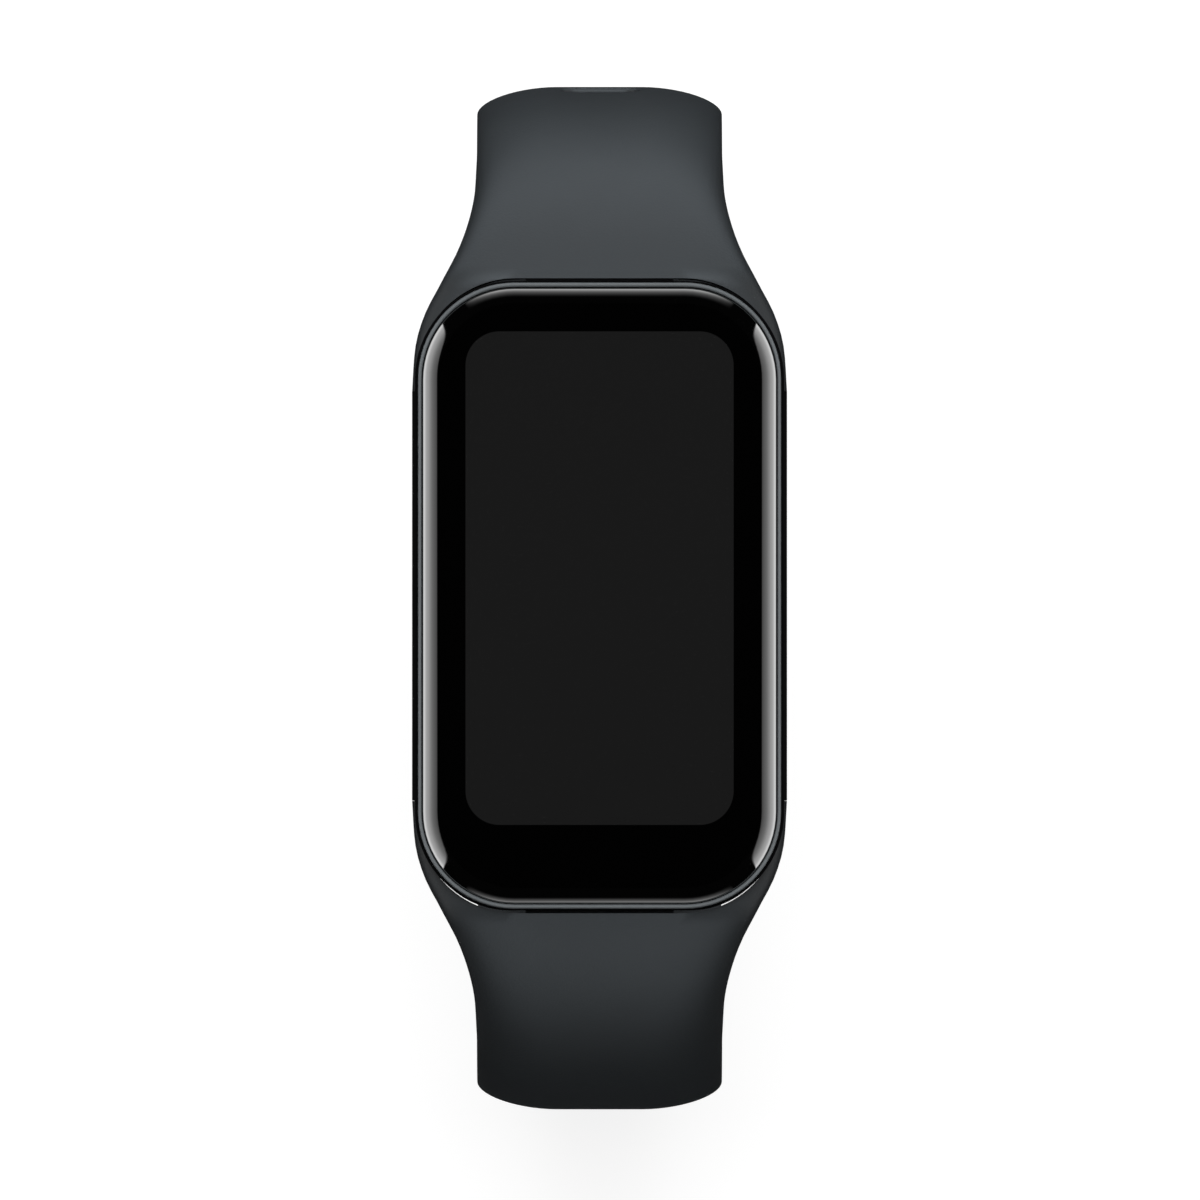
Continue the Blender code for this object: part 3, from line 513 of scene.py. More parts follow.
@dataclass(frozen=True)
class BoardFinish(Finish):
    """A circuit board: solder mask over a maze of fine copper tracks."""

    track_colour: tuple[float, float, float] = (0.05, 0.2, 0.1)
    track_density: float = 700.0
    track_width: float = 0.03

    def colour_source(self, nodes: Nodes) -> bpy.types.NodeSocket:
        """The mask's colour, lighter over the tracks.

        Args:
            nodes: The material's nodes.

        Returns:
            The colour.
        """
        where = nodes.add("TexCoord").outputs["Object"]
        bricks = nodes.add("TexBrick")
        nodes.feed(bricks.inputs["Vector"], where)
        bricks.inputs["Scale"].default_value = self.track_density
        bricks.inputs["Mortar Size"].default_value = self.track_width
        return nodes.mix(bricks.outputs["Fac"], super().colour_source(nodes), (*self.track_colour, 1.0))


DISPLAY_WINDOW = ((0.0, 0.00118, 0.0), (0.00904, 0.01664, 10.0), 0.0023, (0.0098, 0.0098, 0.0098))
STRAP = Finish(
    "strap_rubber", (0.006, 0.0066, 0.007), 0.55, specular=0.3, tone_size=0.012, tone_amount=0.05,
    rough_amount=0.06, grain_size=0.00016, grain_depth=0.000006, dust_amount=0.02,
    dust_colour=(0.05, 0.052, 0.055))
CASE_GLOSS = Finish(
    "case_plastic", (0.0035, 0.0036, 0.004), 0.34, specular=0.25, tone_amount=0.1, rough_amount=0.1,
    grain_size=0.0006, grain_depth=0.000001, dust_amount=0.03, wear_amount=0.15, wear_colour=(0.03, 0.03, 0.03))
# Painted shade: a darker, duller copy of the case plastic for the shell's top band, so that the band stays
# black instead of catching light.
CASE_LIP_PAINTED_SHADE = Finish(
    "case_lip_painted_shade", (0.002, 0.002, 0.0022), 0.75, specular=0.04, tone_amount=0.1, grain_size=0.0002,
    grain_depth=0.000002)
# Painted highlight: the bead round the glass is coloured light grey to stand for the light that its satin top
# catches.
CASE_RIM_PAINTED_HIGHLIGHT = Finish(
    "case_rim_painted_highlight", (0.125, 0.137, 0.144), 0.38, specular=0.5, tone_amount=0.06, rough_amount=0.1,
    grain_size=0.00008, grain_depth=0.000002)
GLASS_FACE = WindowedFinish(
    "cover_glass", (0.0004, 0.0004, 0.0004), 0.04, ior=1.5, tone_amount=0.0, rough_amount=0.05,
    tone_size=0.01, windows=(DISPLAY_WINDOW,))
GLASS_EDGE = Finish(
    "cover_glass_edge", (0.0004, 0.0004, 0.0004), 0.03, ior=3.4, tone_amount=0.0, rough_amount=0.02)
BUCKLE = Finish(
    "buckle_plastic", (0.03, 0.033, 0.036), 0.4, tone_amount=0.08, grain_size=0.00012,
    grain_depth=0.000006, dust_amount=0.02, wear_amount=0.5, wear_colour=(0.11, 0.115, 0.12))
STEEL = BrushedFinish(
    "steel", (0.62, 0.61, 0.6), 0.26, metal=1.0, tone_amount=0.06, grain_size=0.00004,
    grain_depth=0.000004, rough_amount=0.15)
PLATING = BrushedFinish(
    "contact_plating", (0.83, 0.62, 0.28), 0.24, metal=1.0, tone_amount=0.08, grain_size=0.00005,
    grain_depth=0.000003, rough_amount=0.15, along=(40.0, 1.0, 1.0))
SEAL = Finish("seal_rubber", (0.02, 0.02, 0.021), 0.78, grain_size=0.0002, grain_depth=0.000008)
PANEL = Finish("display_panel", (0.011, 0.011, 0.012), 0.3, grain_size=0.0001, grain_depth=0.000001)
ADHESIVE = Finish("clear_adhesive", (0.72, 0.74, 0.75), 0.3, tone_amount=0.04)
WHITE = Finish("white_plastic", (0.76, 0.76, 0.74), 0.5, grain_size=0.0003, grain_depth=0.000004)
CHASSIS = Finish(
    "chassis_plastic", (0.035, 0.036, 0.039), 0.58, tone_amount=0.12, grain_size=0.00018,
    grain_depth=0.00001, dust_amount=0.03)
BOARD = BoardFinish(
    "circuit_board", (0.01, 0.075, 0.04), 0.42, coat=0.3, grain_size=0.0003, grain_depth=0.000004)
CHIP = Finish("chip_plastic", (0.022, 0.022, 0.024), 0.55, grain_size=0.0001, grain_depth=0.000006)
FLEX = Finish("flex_film", (0.4, 0.19, 0.04), 0.36, coat=0.4, tone_amount=0.15)
CELL = BrushedFinish(
    "battery_foil", (0.58, 0.59, 0.6), 0.34, metal=1.0, grain_size=0.0002, grain_depth=0.00001,
    along=(1.0, 6.0, 6.0))
CERAMIC = Finish("antenna_ceramic", (0.7, 0.68, 0.6), 0.5, grain_size=0.00015, grain_depth=0.000006)
LAMP = Finish("led_resin", (0.2, 0.72, 0.34), 0.25, coat=0.5, tone_amount=0.12, tone_size=0.0008)
LENS = WindowedFinish(
    "sensor_window", (0.004, 0.004, 0.0045), 0.08, coat=0.4, tone_amount=0.0, window_edge=0.00012,
    windows=(
        ((0.0, 0.0044, 0.0), (0.0011, 0.0011, 10.0), 0.00109, (0.03, 0.085, 0.045)),
        ((0.0, -0.0044, 0.0), (0.0011, 0.0011, 10.0), 0.00109, (0.03, 0.085, 0.045)),
        ((0.0, 0.0, 0.0), (0.0014, 0.0014, 10.0), 0.0003, (0.028, 0.02, 0.03)),
    ))

CAD_FINISHES = {
    finish.name: finish
    for finish in (
        STRAP, CASE_GLOSS, GLASS_FACE, BUCKLE, STEEL, PLATING, SEAL, PANEL, ADHESIVE, WHITE, CHASSIS,
        BOARD, CHIP, FLEX, CELL, CERAMIC, LAMP, LENS)
}


# --- meshes ---------------------------------------------------------------------------------------
def ease(share: float) -> float:
    """An even ease from 0 to 1."""
    share = min(max(share, 0.0), 1.0)
    return share * share * (3 - 2 * share)


def edges_of(verts: Sequence[bmesh.types.BMVert]) -> list[bmesh.types.BMEdge]:
    """The edges between the given points.

    Args:
        verts: The points.

    Returns:
        Each edge that joins two of them, once.
    """
    chosen = set(verts)
    return list({edge for vert in verts for edge in vert.link_edges if edge.other_vert(vert) in chosen})


def rounded_loop(
    work: bmesh.types.BMesh, half_x: float, half_y: float, corner: float, height: float, steps: int = 18,
    shift: tuple[float, float] = (0.0, 0.0),
) -> list[bmesh.types.BMEdge]:
    """A level loop in the shape of a rounded rectangle.

    Args:
        work: The mesh to add to.
        half_x: Half its width.
        half_y: Half its length.
        corner: Its corners' radius.
        height: Its height.
        steps: The edges in each corner.
        shift: Where its middle is.

    Returns:
        The loop's edges.
    """
    corners = bmesh.ops.create_grid(work, x_segments=1, y_segments=1, size=1.0)["verts"]
    bmesh.ops.scale(work, vec=(half_x, half_y, 1.0), verts=corners)
    bmesh.ops.translate(work, vec=(*shift, height), verts=corners)
    rounded = bmesh.ops.bevel(
        work, geom=corners, offset=min(corner, half_x * 0.999, half_y * 0.999), offset_type="OFFSET",
        affect="VERTICES", segments=steps, profile=0.5, material=-1)
    verts = rounded["verts"]
    faces = {face for vert in verts for face in vert.link_faces}
    bmesh.ops.delete(work, geom=list(faces), context="FACES_ONLY")
    return edges_of(verts)


def point_loop(work: bmesh.types.BMesh, points: Sequence[Sequence[float]]) -> list[bmesh.types.BMEdge]:
    """A closed loop through points: a circle of as many corners, each moved to its point.

    Args:
        work: The mesh to add to.
        points: The points in order.

    Returns:
        The loop's edges.
    """
    verts = bmesh.ops.create_circle(work, cap_ends=False, segments=len(points), radius=1.0)["verts"]
    for vert, point in zip(verts, points):
        vert.co = Vector(point)
    return edges_of(verts)


def bridge(work: bmesh.types.BMesh, loops: Sequence[list], closed: bool = False) -> None:
    """Joins loops in order with walls, and closes the ends.

    Args:
        work: The mesh that holds the loops.
        loops: The edges of each loop.
        closed: Whether the last loop joins the first, instead of both being capped.
    """
    for before, after in zip(loops, loops[1:]):
        bmesh.ops.bridge_loops(work, edges=before + after)
    if closed:
        bmesh.ops.bridge_loops(work, edges=loops[-1] + loops[0])
        return
    for loop in (loops[0], loops[-1]):
        bmesh.ops.contextual_create(work, geom=loop)


def box(work: bmesh.types.BMesh, low: Sequence[float], high: Sequence[float], rounding: float = 0.0) -> None:
    """Adds a box between two corners.

    Args:
        work: The mesh to add to.
        low: The lowest corner.
        high: The highest corner.
        rounding: The radius of its edges.
    """
    verts = bmesh.ops.create_cube(work, size=1.0)["verts"]
    bmesh.ops.scale(work, vec=Vector(high) - Vector(low), verts=verts)
    bmesh.ops.translate(work, vec=(Vector(high) + Vector(low)) / 2, verts=verts)
    if rounding:
        soften(work, edges_of(verts), rounding)


def rims_of(edges: Sequence[bmesh.types.BMEdge]) -> list[bmesh.types.BMEdge]:
    """The edges that lie square to X, as at the ends of a rod laid across."""
    return [edge for edge in edges if abs(edge.verts[0].co.x - edge.verts[1].co.x) < LEVEL]


def soften(work: bmesh.types.BMesh, edges: list[bmesh.types.BMEdge], width: float, segments: int = 4) -> None:
    """Rounds edges.

    Args:
        work: The mesh.
        edges: The edges.
        width: How far back each is cut.
        segments: How many strips round each.
    """
    bmesh.ops.bevel(
        work, geom=edges, offset=width, affect="EDGES", segments=segments, profile=0.5, material=-1)


def rod(
    work: bmesh.types.BMesh, place: Point, radius: float, length: float, across: bool = True,
    segments: int = 48,
) -> list[bmesh.types.BMVert]:
    """Adds a plain rod.

    Args:
        work: The mesh to add to.
        place: Its middle.
        radius: Its radius.
        length: Its length.
        across: Whether it lies along X instead of standing up.
        segments: How many flats it has.

    Returns:
        Its points.
    """
    turn = Matrix.Rotation(math.pi / 2, 4, "Y") if across else Matrix.Identity(4)
    return bmesh.ops.create_cone(
        work, cap_ends=True, segments=segments, radius1=radius, radius2=radius, depth=length,
        matrix=Matrix.Translation(place) @ turn)["verts"]


def finish_piece(
    name: str, work: bmesh.types.BMesh, finishes: Sequence[Finish], sharp_angle: float = SHARP_ANGLE,
) -> bpy.types.Object:
    """Turns a mesh in millimetres into a finished object.

    Args:
        name: The piece's name.
        work: Its mesh, which is freed.
        finishes: Its finishes, in the order of its faces' material numbers.
        sharp_angle: The angle in degrees from which an edge stays crisp.

    Returns:
        The object, with its place in its mesh.
    """
    bmesh.ops.remove_doubles(work, verts=work.verts, dist=0.0005)
    bmesh.ops.recalc_face_normals(work, faces=work.faces)
    mesh = bpy.data.meshes.new(name)
    work.to_mesh(mesh)
    work.free()
    mesh.transform(Matrix.Scale(MM, 4))
    mesh.shade_smooth()
    mesh.set_sharp_from_angle(angle=math.radians(sharp_angle))
    for finish in finishes:
        mesh.materials.append(finish.material())
    made = bpy.data.objects.new(name, mesh)
    bpy.context.scene.collection.objects.link(made)
    LOG.info("%s: %d faces", name, len(mesh.polygons))
    return made


def carve(target: bpy.types.Object, *tools: bmesh.types.BMesh) -> bpy.types.Object:
    """Cuts tools from a finished piece and keeps the result as its mesh.

    Args:
        target: The piece.
        tools: The tools' meshes in millimetres, which are freed.

    Returns:
        The piece.
    """
    cutters = []
    for work in tools:
        bmesh.ops.recalc_face_normals(work, faces=work.faces)
        mesh = bpy.data.meshes.new("tool")
        work.to_mesh(mesh)
        work.free()
        mesh.transform(Matrix.Scale(MM, 4))
        cutter = bpy.data.objects.new("tool", mesh)
        bpy.context.scene.collection.objects.link(cutter)
        step = target.modifiers.new("carve", "BOOLEAN")
        step.operation, step.object, step.solver = "DIFFERENCE", cutter, "EXACT"
        cutters.append(cutter)
    bpy.context.view_layer.update()
    evaluated = target.evaluated_get(bpy.context.evaluated_depsgraph_get())
    final = bpy.data.meshes.new_from_object(evaluated)
    target.modifiers.clear()
    target.data = final
    for cutter in cutters:
        bpy.data.objects.remove(cutter)
    target.data.shade_smooth()
    target.data.set_sharp_from_angle(angle=math.radians(SHARP_ANGLE))
    return target


def settle(piece: bpy.types.Object, body: str, slot: str, *nodes: str) -> bpy.types.Object:
    """Hands a rigid piece to its body and hides the nodes that it stands for.

    Args:
        piece: The piece.
        body: The body that it moves with.
        slot: Not used.
        nodes: The nodes that it is shown instead of.

    Returns:
        The piece.
    """
    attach(piece, body)
    if nodes:
        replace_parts(piece, *nodes)
    return piece


# --- case -----------------------------------------------------------------------------------------
@dataclass
class Case:
    """The hard case: shell, rim painted light as its highlight, cover glass, back cover and what shows in it.
    Millimetres.
    """

    base: float = 48.60163
    half_length: float = 21.22
    core_half_width: float = 12.15
    core_corner: float = 6.5
    shoulder_from: float = 13.85
    lip_from: float = 8.15
    rim_inner: tuple[float, float, float] = (12.0, 20.82, 6.25)
    glass_half: tuple[float, float, float] = (11.95, 20.77, 6.2)
    glass_low: float = 9.12
    glass_side: float = 9.54
    glass_top: float = 10.0
    glass_curve: float = 1.05
    glass_steps: int = 16
    back_half: tuple[float, float, float] = (11.35, 20.02, 5.5)
    back_low: float = 0.75
    back_high: float = 1.75
    dome_half: tuple[float, float, float] = (7.5, 11.0, 5.4)
    lens_half: tuple[float, float, float] = (5.6, 8.2, 4.0)
    contact_radius: float = 1.1
    contact_places: tuple[tuple[str, float], ...] = (("left", -3.5), ("right", 3.5))
    contact_y: float = -13.4
    contact_gap: float = 0.05
    contact_edge: float = 0.12
    seam_width: float = 0.06
    bead_stretch: float = 1.2
    shell_profile: tuple[tuple[float, float, float, float], ...] = (
        (11.55, 20.2, 5.7, 2.1), (11.55, 20.2, 5.7, 1.0), (11.7, 20.45, 5.9, 0.9), (11.93, 20.7, 6.1, 0.97),
        (12.12, 20.88, 6.25, 1.2), (12.3, 21.0, 6.36, 1.6), (12.46, 21.1, 6.46, 2.1),
        (12.58, 21.18, 6.55, 2.75), (12.65, 21.22, 6.6, 3.5), (12.65, 21.22, 6.6, 8.2),
        (12.63, 21.22, 6.6, 8.6), (12.59, 21.22, 6.6, 8.8), (12.53, 21.22, 6.6, 8.93),
        (12.45, 21.22, 6.58, 9.02), (12.34, 21.18, 6.52, 9.06), (12.1, 21.0, 6.4, 9.08),
        (12.02, 20.84, 6.27, 9.0), (12.02, 20.84, 6.27, 7.0))
    bead_profile: tuple[tuple[float, float], ...] = (
        (-0.01, 8.6), (-0.01, 9.4), (0.005, 9.5), (0.04, 9.57), (0.09, 9.61), (0.15, 9.62),
        (0.2, 9.59), (0.235, 9.51), (0.25, 9.38), (0.25, 8.6))
    lens_profile: tuple[tuple[float, float], ...] = (
        (0.0, 0.5), (0.0, 0.12), (-0.03, 0.05), (-0.08, 0.015), (-0.2, 0.0))

    def level(
        self, work: bmesh.types.BMesh, half_x: float, half_y: float, corner: float, height: float,
    ) -> list:
        """A rounded loop at a height above the case's back."""
        return rounded_loop(work, half_x, half_y, corner, self.base + height)

    def grown(self, work: bmesh.types.BMesh, shape: Point, steps: Sequence[tuple[float, float]]) -> list:
        """Loops of one shape, each grown outwards and at its own height.

        Args:
            work: The mesh to add to.
            shape: Half the width, half the length and the corner.
            steps: How far each loop is grown, and its height.

        Returns:
            The loops in order.
        """
        half_x, half_y, corner = shape
        return [self.level(work, half_x + grow, half_y + grow, corner + grow, height)
                for grow, height in steps]

    def pull_to_core(self, vert: bmesh.types.BMVert) -> None:
        """Moves a point that is outside the straight core back onto it.

        Args:
            vert: The point.
        """
        corner = self.core_corner
        out_x = abs(vert.co.x) - (self.core_half_width - corner)
        out_y = abs(vert.co.y) - (self.half_length - corner)
        if out_x <= 0:
            return
        beyond = math.hypot(out_x, out_y) if out_y > 0 else out_x
        if beyond > corner:
            vert.co.x = math.copysign(
                self.core_half_width - corner + out_x * corner / beyond, vert.co.x)

    def build_shell(self) -> bpy.types.Object:
        """The polished shell, whose bulged sides step in where the straps' shoulders wrap it; its top band
        wears a darker, duller copy of the plastic as painted shade.
        """
        work = bmesh.new()
        loops = [self.level(work, *level) for level in self.shell_profile]
        bridge(work, loops, closed=True)
        for cut in (self.shoulder_from, self.shoulder_from - self.seam_width):
            for side in (1, -1):
                bmesh.ops.bisect_plane(
                    work, geom=work.verts[:] + work.edges[:] + work.faces[:], dist=0.0001,
                    plane_co=(0, side * cut, 0), plane_no=(0, 1, 0))
        for vert in work.verts:
            if abs(vert.co.y) > self.shoulder_from - 0.01 and vert.co.z < self.base + 9.0:
                self.pull_to_core(vert)
        # Faces above lip_from take the painted-shade copy of the case plastic, the rest the polished one.
        for face in work.faces:
            face.material_index = int(face.calc_center_median().z > self.base + self.lip_from)
        return finish_piece("case_shell", work, [CASE_GLOSS, CASE_LIP_PAINTED_SHADE])

    def build_rim(self) -> bpy.types.Object:
        """The satin bead round the glass, coloured light grey as a painted highlight."""
        work = bmesh.new()
        half_x, half_y, corner = self.rim_inner
        loops = [
            self.level(work, half_x + out, half_y + out * self.bead_stretch, corner + out, height)
            for out, height in self.bead_profile]
        bridge(work, loops, closed=True)
        return finish_piece("glass_rim", work, [CASE_RIM_PAINTED_HIGHLIGHT], sharp_angle=SOFT_ANGLE)

    def build_glass(self) -> bpy.types.Object:
        """The cover glass: a flat face that rolls down to its sides, with the curve as its own finish."""
        work = bmesh.new()
        half_x, half_y, corner = self.glass_half
        loops = [self.level(work, half_x - 0.05, half_y - 0.05, corner, self.glass_low)]
        loops.append(self.level(work, half_x, half_y, corner, self.glass_low + 0.05))
        rise = self.glass_top - self.glass_side
        for step in range(self.glass_steps + 1):
            turn = math.pi / 2 * step / self.glass_steps
            inset = self.glass_curve * (1 - math.cos(turn))
            height = self.glass_side + rise * math.sin(turn)
            loops.append(self.level(work, half_x - inset, half_y - inset, corner - inset, height))
        bridge(work, loops)
        top = self.base + self.glass_top
        flat = [face for face in work.faces if all(vert.co.z > top - 0.0005 for vert in face.verts)]
        for face in work.faces:
            face.material_index = int(face not in flat)
        bmesh.ops.inset_region(work, faces=flat, thickness=0.4, use_even_offset=True)
        return finish_piece("touch_glass", work, [GLASS_FACE, GLASS_EDGE], sharp_angle=SOFT_ANGLE)

    def build_back(self) -> bpy.types.Object:
        """The back cover with its dome, the well of the sensor window and the contacts' holes."""
        work = bmesh.new()
        low = self.back_low
        loops = [
            *self.grown(work, self.back_half, (
                (0.0, self.back_high), (0.0, low + 0.12), (-0.04, low + 0.04), (-0.14, low))),
            *self.grown(work, self.dome_half, (
                (0.5, low), (0.1, low - 0.05), (-0.15, low - 0.25), (-0.35, 0.3), (-0.6, 0.13),
                (-0.9, 0.03), (-1.15, 0.0))),
            *self.grown(work, self.lens_half, ((0.14, 0.0), (0.1, 0.04), (0.1, 0.56)))]
        bridge(work, loops)
        cover = finish_piece("back_shell", work, [CASE_GLOSS])
        holes = bmesh.new()
        for _, x in self.contact_places:
            place = (x, self.contact_y, self.base + self.back_low)
            rod(holes, place, self.contact_radius + self.contact_gap, 2.0, across=False)
        return carve(cover, holes)

    def build_lens(self) -> bpy.types.Object:
        """The dark window over the pulse sensor, with softened edges."""
        work = bmesh.new()
        bridge(work, self.grown(work, self.lens_half, self.lens_profile))
        return finish_piece("pulse_window", work, [LENS])

    def build_contact(self, name: str, x: float) -> bpy.types.Object:
        """A plated charging contact with a dished face.

        Args:
            name: Its side.
            x: Its place across the case.

        Returns:
            The piece.
        """
        work = bmesh.new()
        low = self.base + self.back_low + self.contact_gap
        rod(work, (x, self.contact_y, low + 0.5), self.contact_radius, 1.0, across=False)
        rim = [edge for edge in work.edges if all(vert.co.z < low + LEVEL for vert in edge.verts)]
        soften(work, rim, self.contact_edge)
        face = [found for found in work.faces if found.normal.z < -0.99 and len(found.verts) > 8]
        bmesh.ops.inset_region(work, faces=face, thickness=0.3, depth=-0.05)
        return finish_piece(f"contact_{name}", work, [PLATING])

    def build(self) -> None:
        """Builds every piece of the case and settles it on its body."""
        settle(self.build_shell(), "case", "case_plastic", "case_frame")
        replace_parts(settle(self.build_rim(), "case", "case_plastic"), "case_frame")
        settle(self.build_glass(), "case", "cover_glass", "cover_glass")
        settle(self.build_back(), "case", "case_plastic", "back_cover")
        settle(self.build_lens(), "case", "sensor_window", "sensor_window")
        for name, x in self.contact_places:
            settle(self.build_contact(name, x), "case", "contact_plating", f"charging_contact_{name}")
        LOG.info("case built")


# --- straps ---------------------------------------------------------------------------------------
@dataclass
class Band:
    """The two soft straps and the keeper, bent on the routes that they take at rest. Millimetres."""

    seam_z: float = 57.5616
    strap_start: float = 21.42
    leave_angle: float = 30.0
    arc_radius: float = 26.56
    tail_drop: float = 8.0
    tail_length: float = 103.4
    buckle_length: float = 68.9
    curl_from: float = 100.0
    curl_radius: float = 21.0
    half_narrow: float = 8.3
    half_wide: float = 12.65
    thickness: float = 2.4
    crown: float = 1.85
    land: float = 6.0
    crown_power: float = 1.8
    root_crown: float = 2.5
    root_thickness: float = 7.6
    root_length: float = 16.0
    step_at: float = 13.83
    shoulder_from: float = 14.0
    shoulder_length: float = 17.4
    tip_rounding: float = 7.0
    tip_share: float = 0.42
    tip_edge: float = 1.05
    ring_step: float = 1.0
    slot_count: int = 15
    slot_first: float = 24.2
    slot_pitch: float = 5.0
    slot_half: tuple[float, float] = (2.6, 1.0)
    knuckle_radius: float = 1.6
    knuckle_length: float = 5.5
    knuckle_middle: float = 5.45
    knuckle_edge: float = 0.3
    notch_radius: float = 3.6
    notch_width: float = 5.4
    pocket_near: Point = (-5.35, 19.22, 42.6)
    pocket_far: Point = (5.35, 23.57, 54.35)
    pocket_edge: float = 0.2
    core: tuple[float, float, float] = (12.35, 21.42, 6.7)
    keeper_back: float = 8.0
    keeper_room: tuple[float, float] = (8.5, 2.8)
    keeper_wall: float = 1.1
    keeper_half_long: float = 2.25
    keeper_corner: float = 1.45
    keeper_edge: float = 0.45
    keeper_steps: int = 24
    root_rings: int = 10
    bend_from: tuple[float, float] = (0.0205, 0.0565)
    bend_to: tuple[float, float] = (0.0300, 0.0420)
    slot_flare: tuple[tuple[float, float], ...] = (
        (-1.0, 0.26), (0.0, 0.26), (0.04, 0.15), (0.11, 0.06), (0.24, 0.0))
    tip_stations: tuple[float, ...] = (
        0.0, 0.18, 0.36, 0.52, 0.66, 0.76, 0.82, 0.86, 0.89, 0.915, 0.94, 0.96, 0.975, 0.987, 0.995,
        0.9985, 1.0)
    shoulder_shape: tuple[tuple[float, float], ...] = (
        (0.0, 1.0), (0.173, 0.943), (0.295, 0.793), (0.41, 0.552),
        (0.526, 0.326), (0.647, 0.172), (0.821, 0.046), (1.0, 0.0))

    def route(self, side: Side) -> tuple[tuple[float, float | None], ...]:
        """The route of a strap's outer face from the case on.

        Args:
            side: The strap.

        Returns:
            Lengths and radii; a radius of None is straight.
        """
        if side is Side.TAIL:
            first = self.arc_radius * math.radians(90 - self.leave_angle)
            second = self.arc_radius * math.pi / 2
            rest = self.tail_length - first - self.tail_drop - second
            return (
                (first, self.arc_radius), (self.tail_drop, None), (second, self.arc_radius), (rest, None))
        first = self.arc_radius * math.radians(self.curl_from - self.leave_angle)
        return (first, self.arc_radius), (self.buckle_length - first, self.curl_radius)

    def place(self, side: Side, along: float) -> tuple[float, float, float]:
        """Where the outer face is at a length from the case.

        Args:
            side: The strap.
            along: The length from the case.

        Returns:
            The distance from the case's middle, the height, and the angle below level.
        """
        y, z, angle = self.strap_start, self.seam_z, math.radians(self.leave_angle)
        for length, radius in self.route(side):
            step = min(along, length)
            if radius is None:
                y, z = y + step * math.cos(angle), z - step * math.sin(angle)
            else:
                turned = angle + step / radius
                y += radius * (math.sin(turned) - math.sin(angle))
                z += radius * (math.cos(turned) - math.cos(angle))
                angle = turned
            along -= step
            if along <= 0:
                break
        return y, z, angle

    def half_width_at(self, y: float) -> float:
        """Half the strap's width, eased through the shoulder's shape.

        Args:
            y: The distance from the case's middle.

        Returns:
            Half the width.
        """
        share = min(max((y - self.shoulder_from) / self.shoulder_length, 0.0), 1.0)
        points = (self.shoulder_shape[0], *self.shoulder_shape, self.shoulder_shape[-1])
        for before, low, high, after in zip(points, points[1:], points[2:], points[3:]):
            if share <= high[0] and high[0] > low[0]:
                break
        length = high[0] - low[0]
        local = (share - low[0]) / length
        rise_low = (high[1] - before[1]) / (high[0] - before[0]) * length if high[0] > before[0] else 0.0
        rise_high = (after[1] - low[1]) / (after[0] - low[0]) * length if after[0] > low[0] else 0.0
        extra = (
            low[1] * (1 + 2 * local) * (1 - local) ** 2 + rise_low * local * (1 - local) ** 2
            + high[1] * local * local * (3 - 2 * local) + rise_high * local * local * (local - 1))
        return self.half_narrow + (self.half_wide - self.half_narrow) * extra

    def section(self, half_width: float, thickness: float, blend: float) -> list[tuple[float, float]]:
        """A cross-section as points across and into the strap.

        Args:
            half_width: Half the strap's width there.
            thickness: Its full depth.
            blend: 0 at the case, 1 along the band.

        Returns:
            The points, from the middle of the outer face round by the right side.
        """
        steps, turns, edge = 14, 5, min(0.42, half_width / 4)
        crown = self.crown + (self.root_crown - self.crown) * (1 - blend)
        power = self.crown_power + 2.0 * (1 - blend)
        land = min(self.land, 1.2 * half_width)
        right = []
        for index in range(steps + 1):
            turn = math.pi / 2 * index / steps
            across = land / 2 + (half_width - land / 2) * math.sin(turn) ** (2 / power)
            right.append((across, crown * (1 - math.cos(turn) ** (2 / power))))
        for index in range(turns + 1):
            turn = math.pi / 2 * index / turns
            right.append((
                half_width - edge + edge * math.cos(turn), thickness - edge + edge * math.sin(turn)))
        return [(0.0, 0.0), *right, (0.0, thickness), *[(-across, depth) for across, depth in reversed(right)]]

    def ring(
        self, side: Side, y: float, z: float, lean: float, half: float, deep: float, blend: float,
        squeeze: float = 1.0,
    ) -> list[Point]:
        """A cross-section's points in the band's frame.

        Args:
            side: The strap.
            y: The outer face's distance from the case's middle.
            z: The outer face's height.
            lean: How far the depth turns from straight down.
            half: Half the section's width.
            deep: Its depth.
            blend: 0 at the case, 1 along the band.
            squeeze: The share of the depth that is left, about its middle.

        Returns:
            The points, in order round the section.
        """
        found = []
        for across, depth in self.section(half, deep, blend):
            depth = deep / 2 + (depth - deep / 2) * squeeze
            found.append((across, side.value * (y - depth * math.sin(lean)), z - depth * math.cos(lean)))
        return found

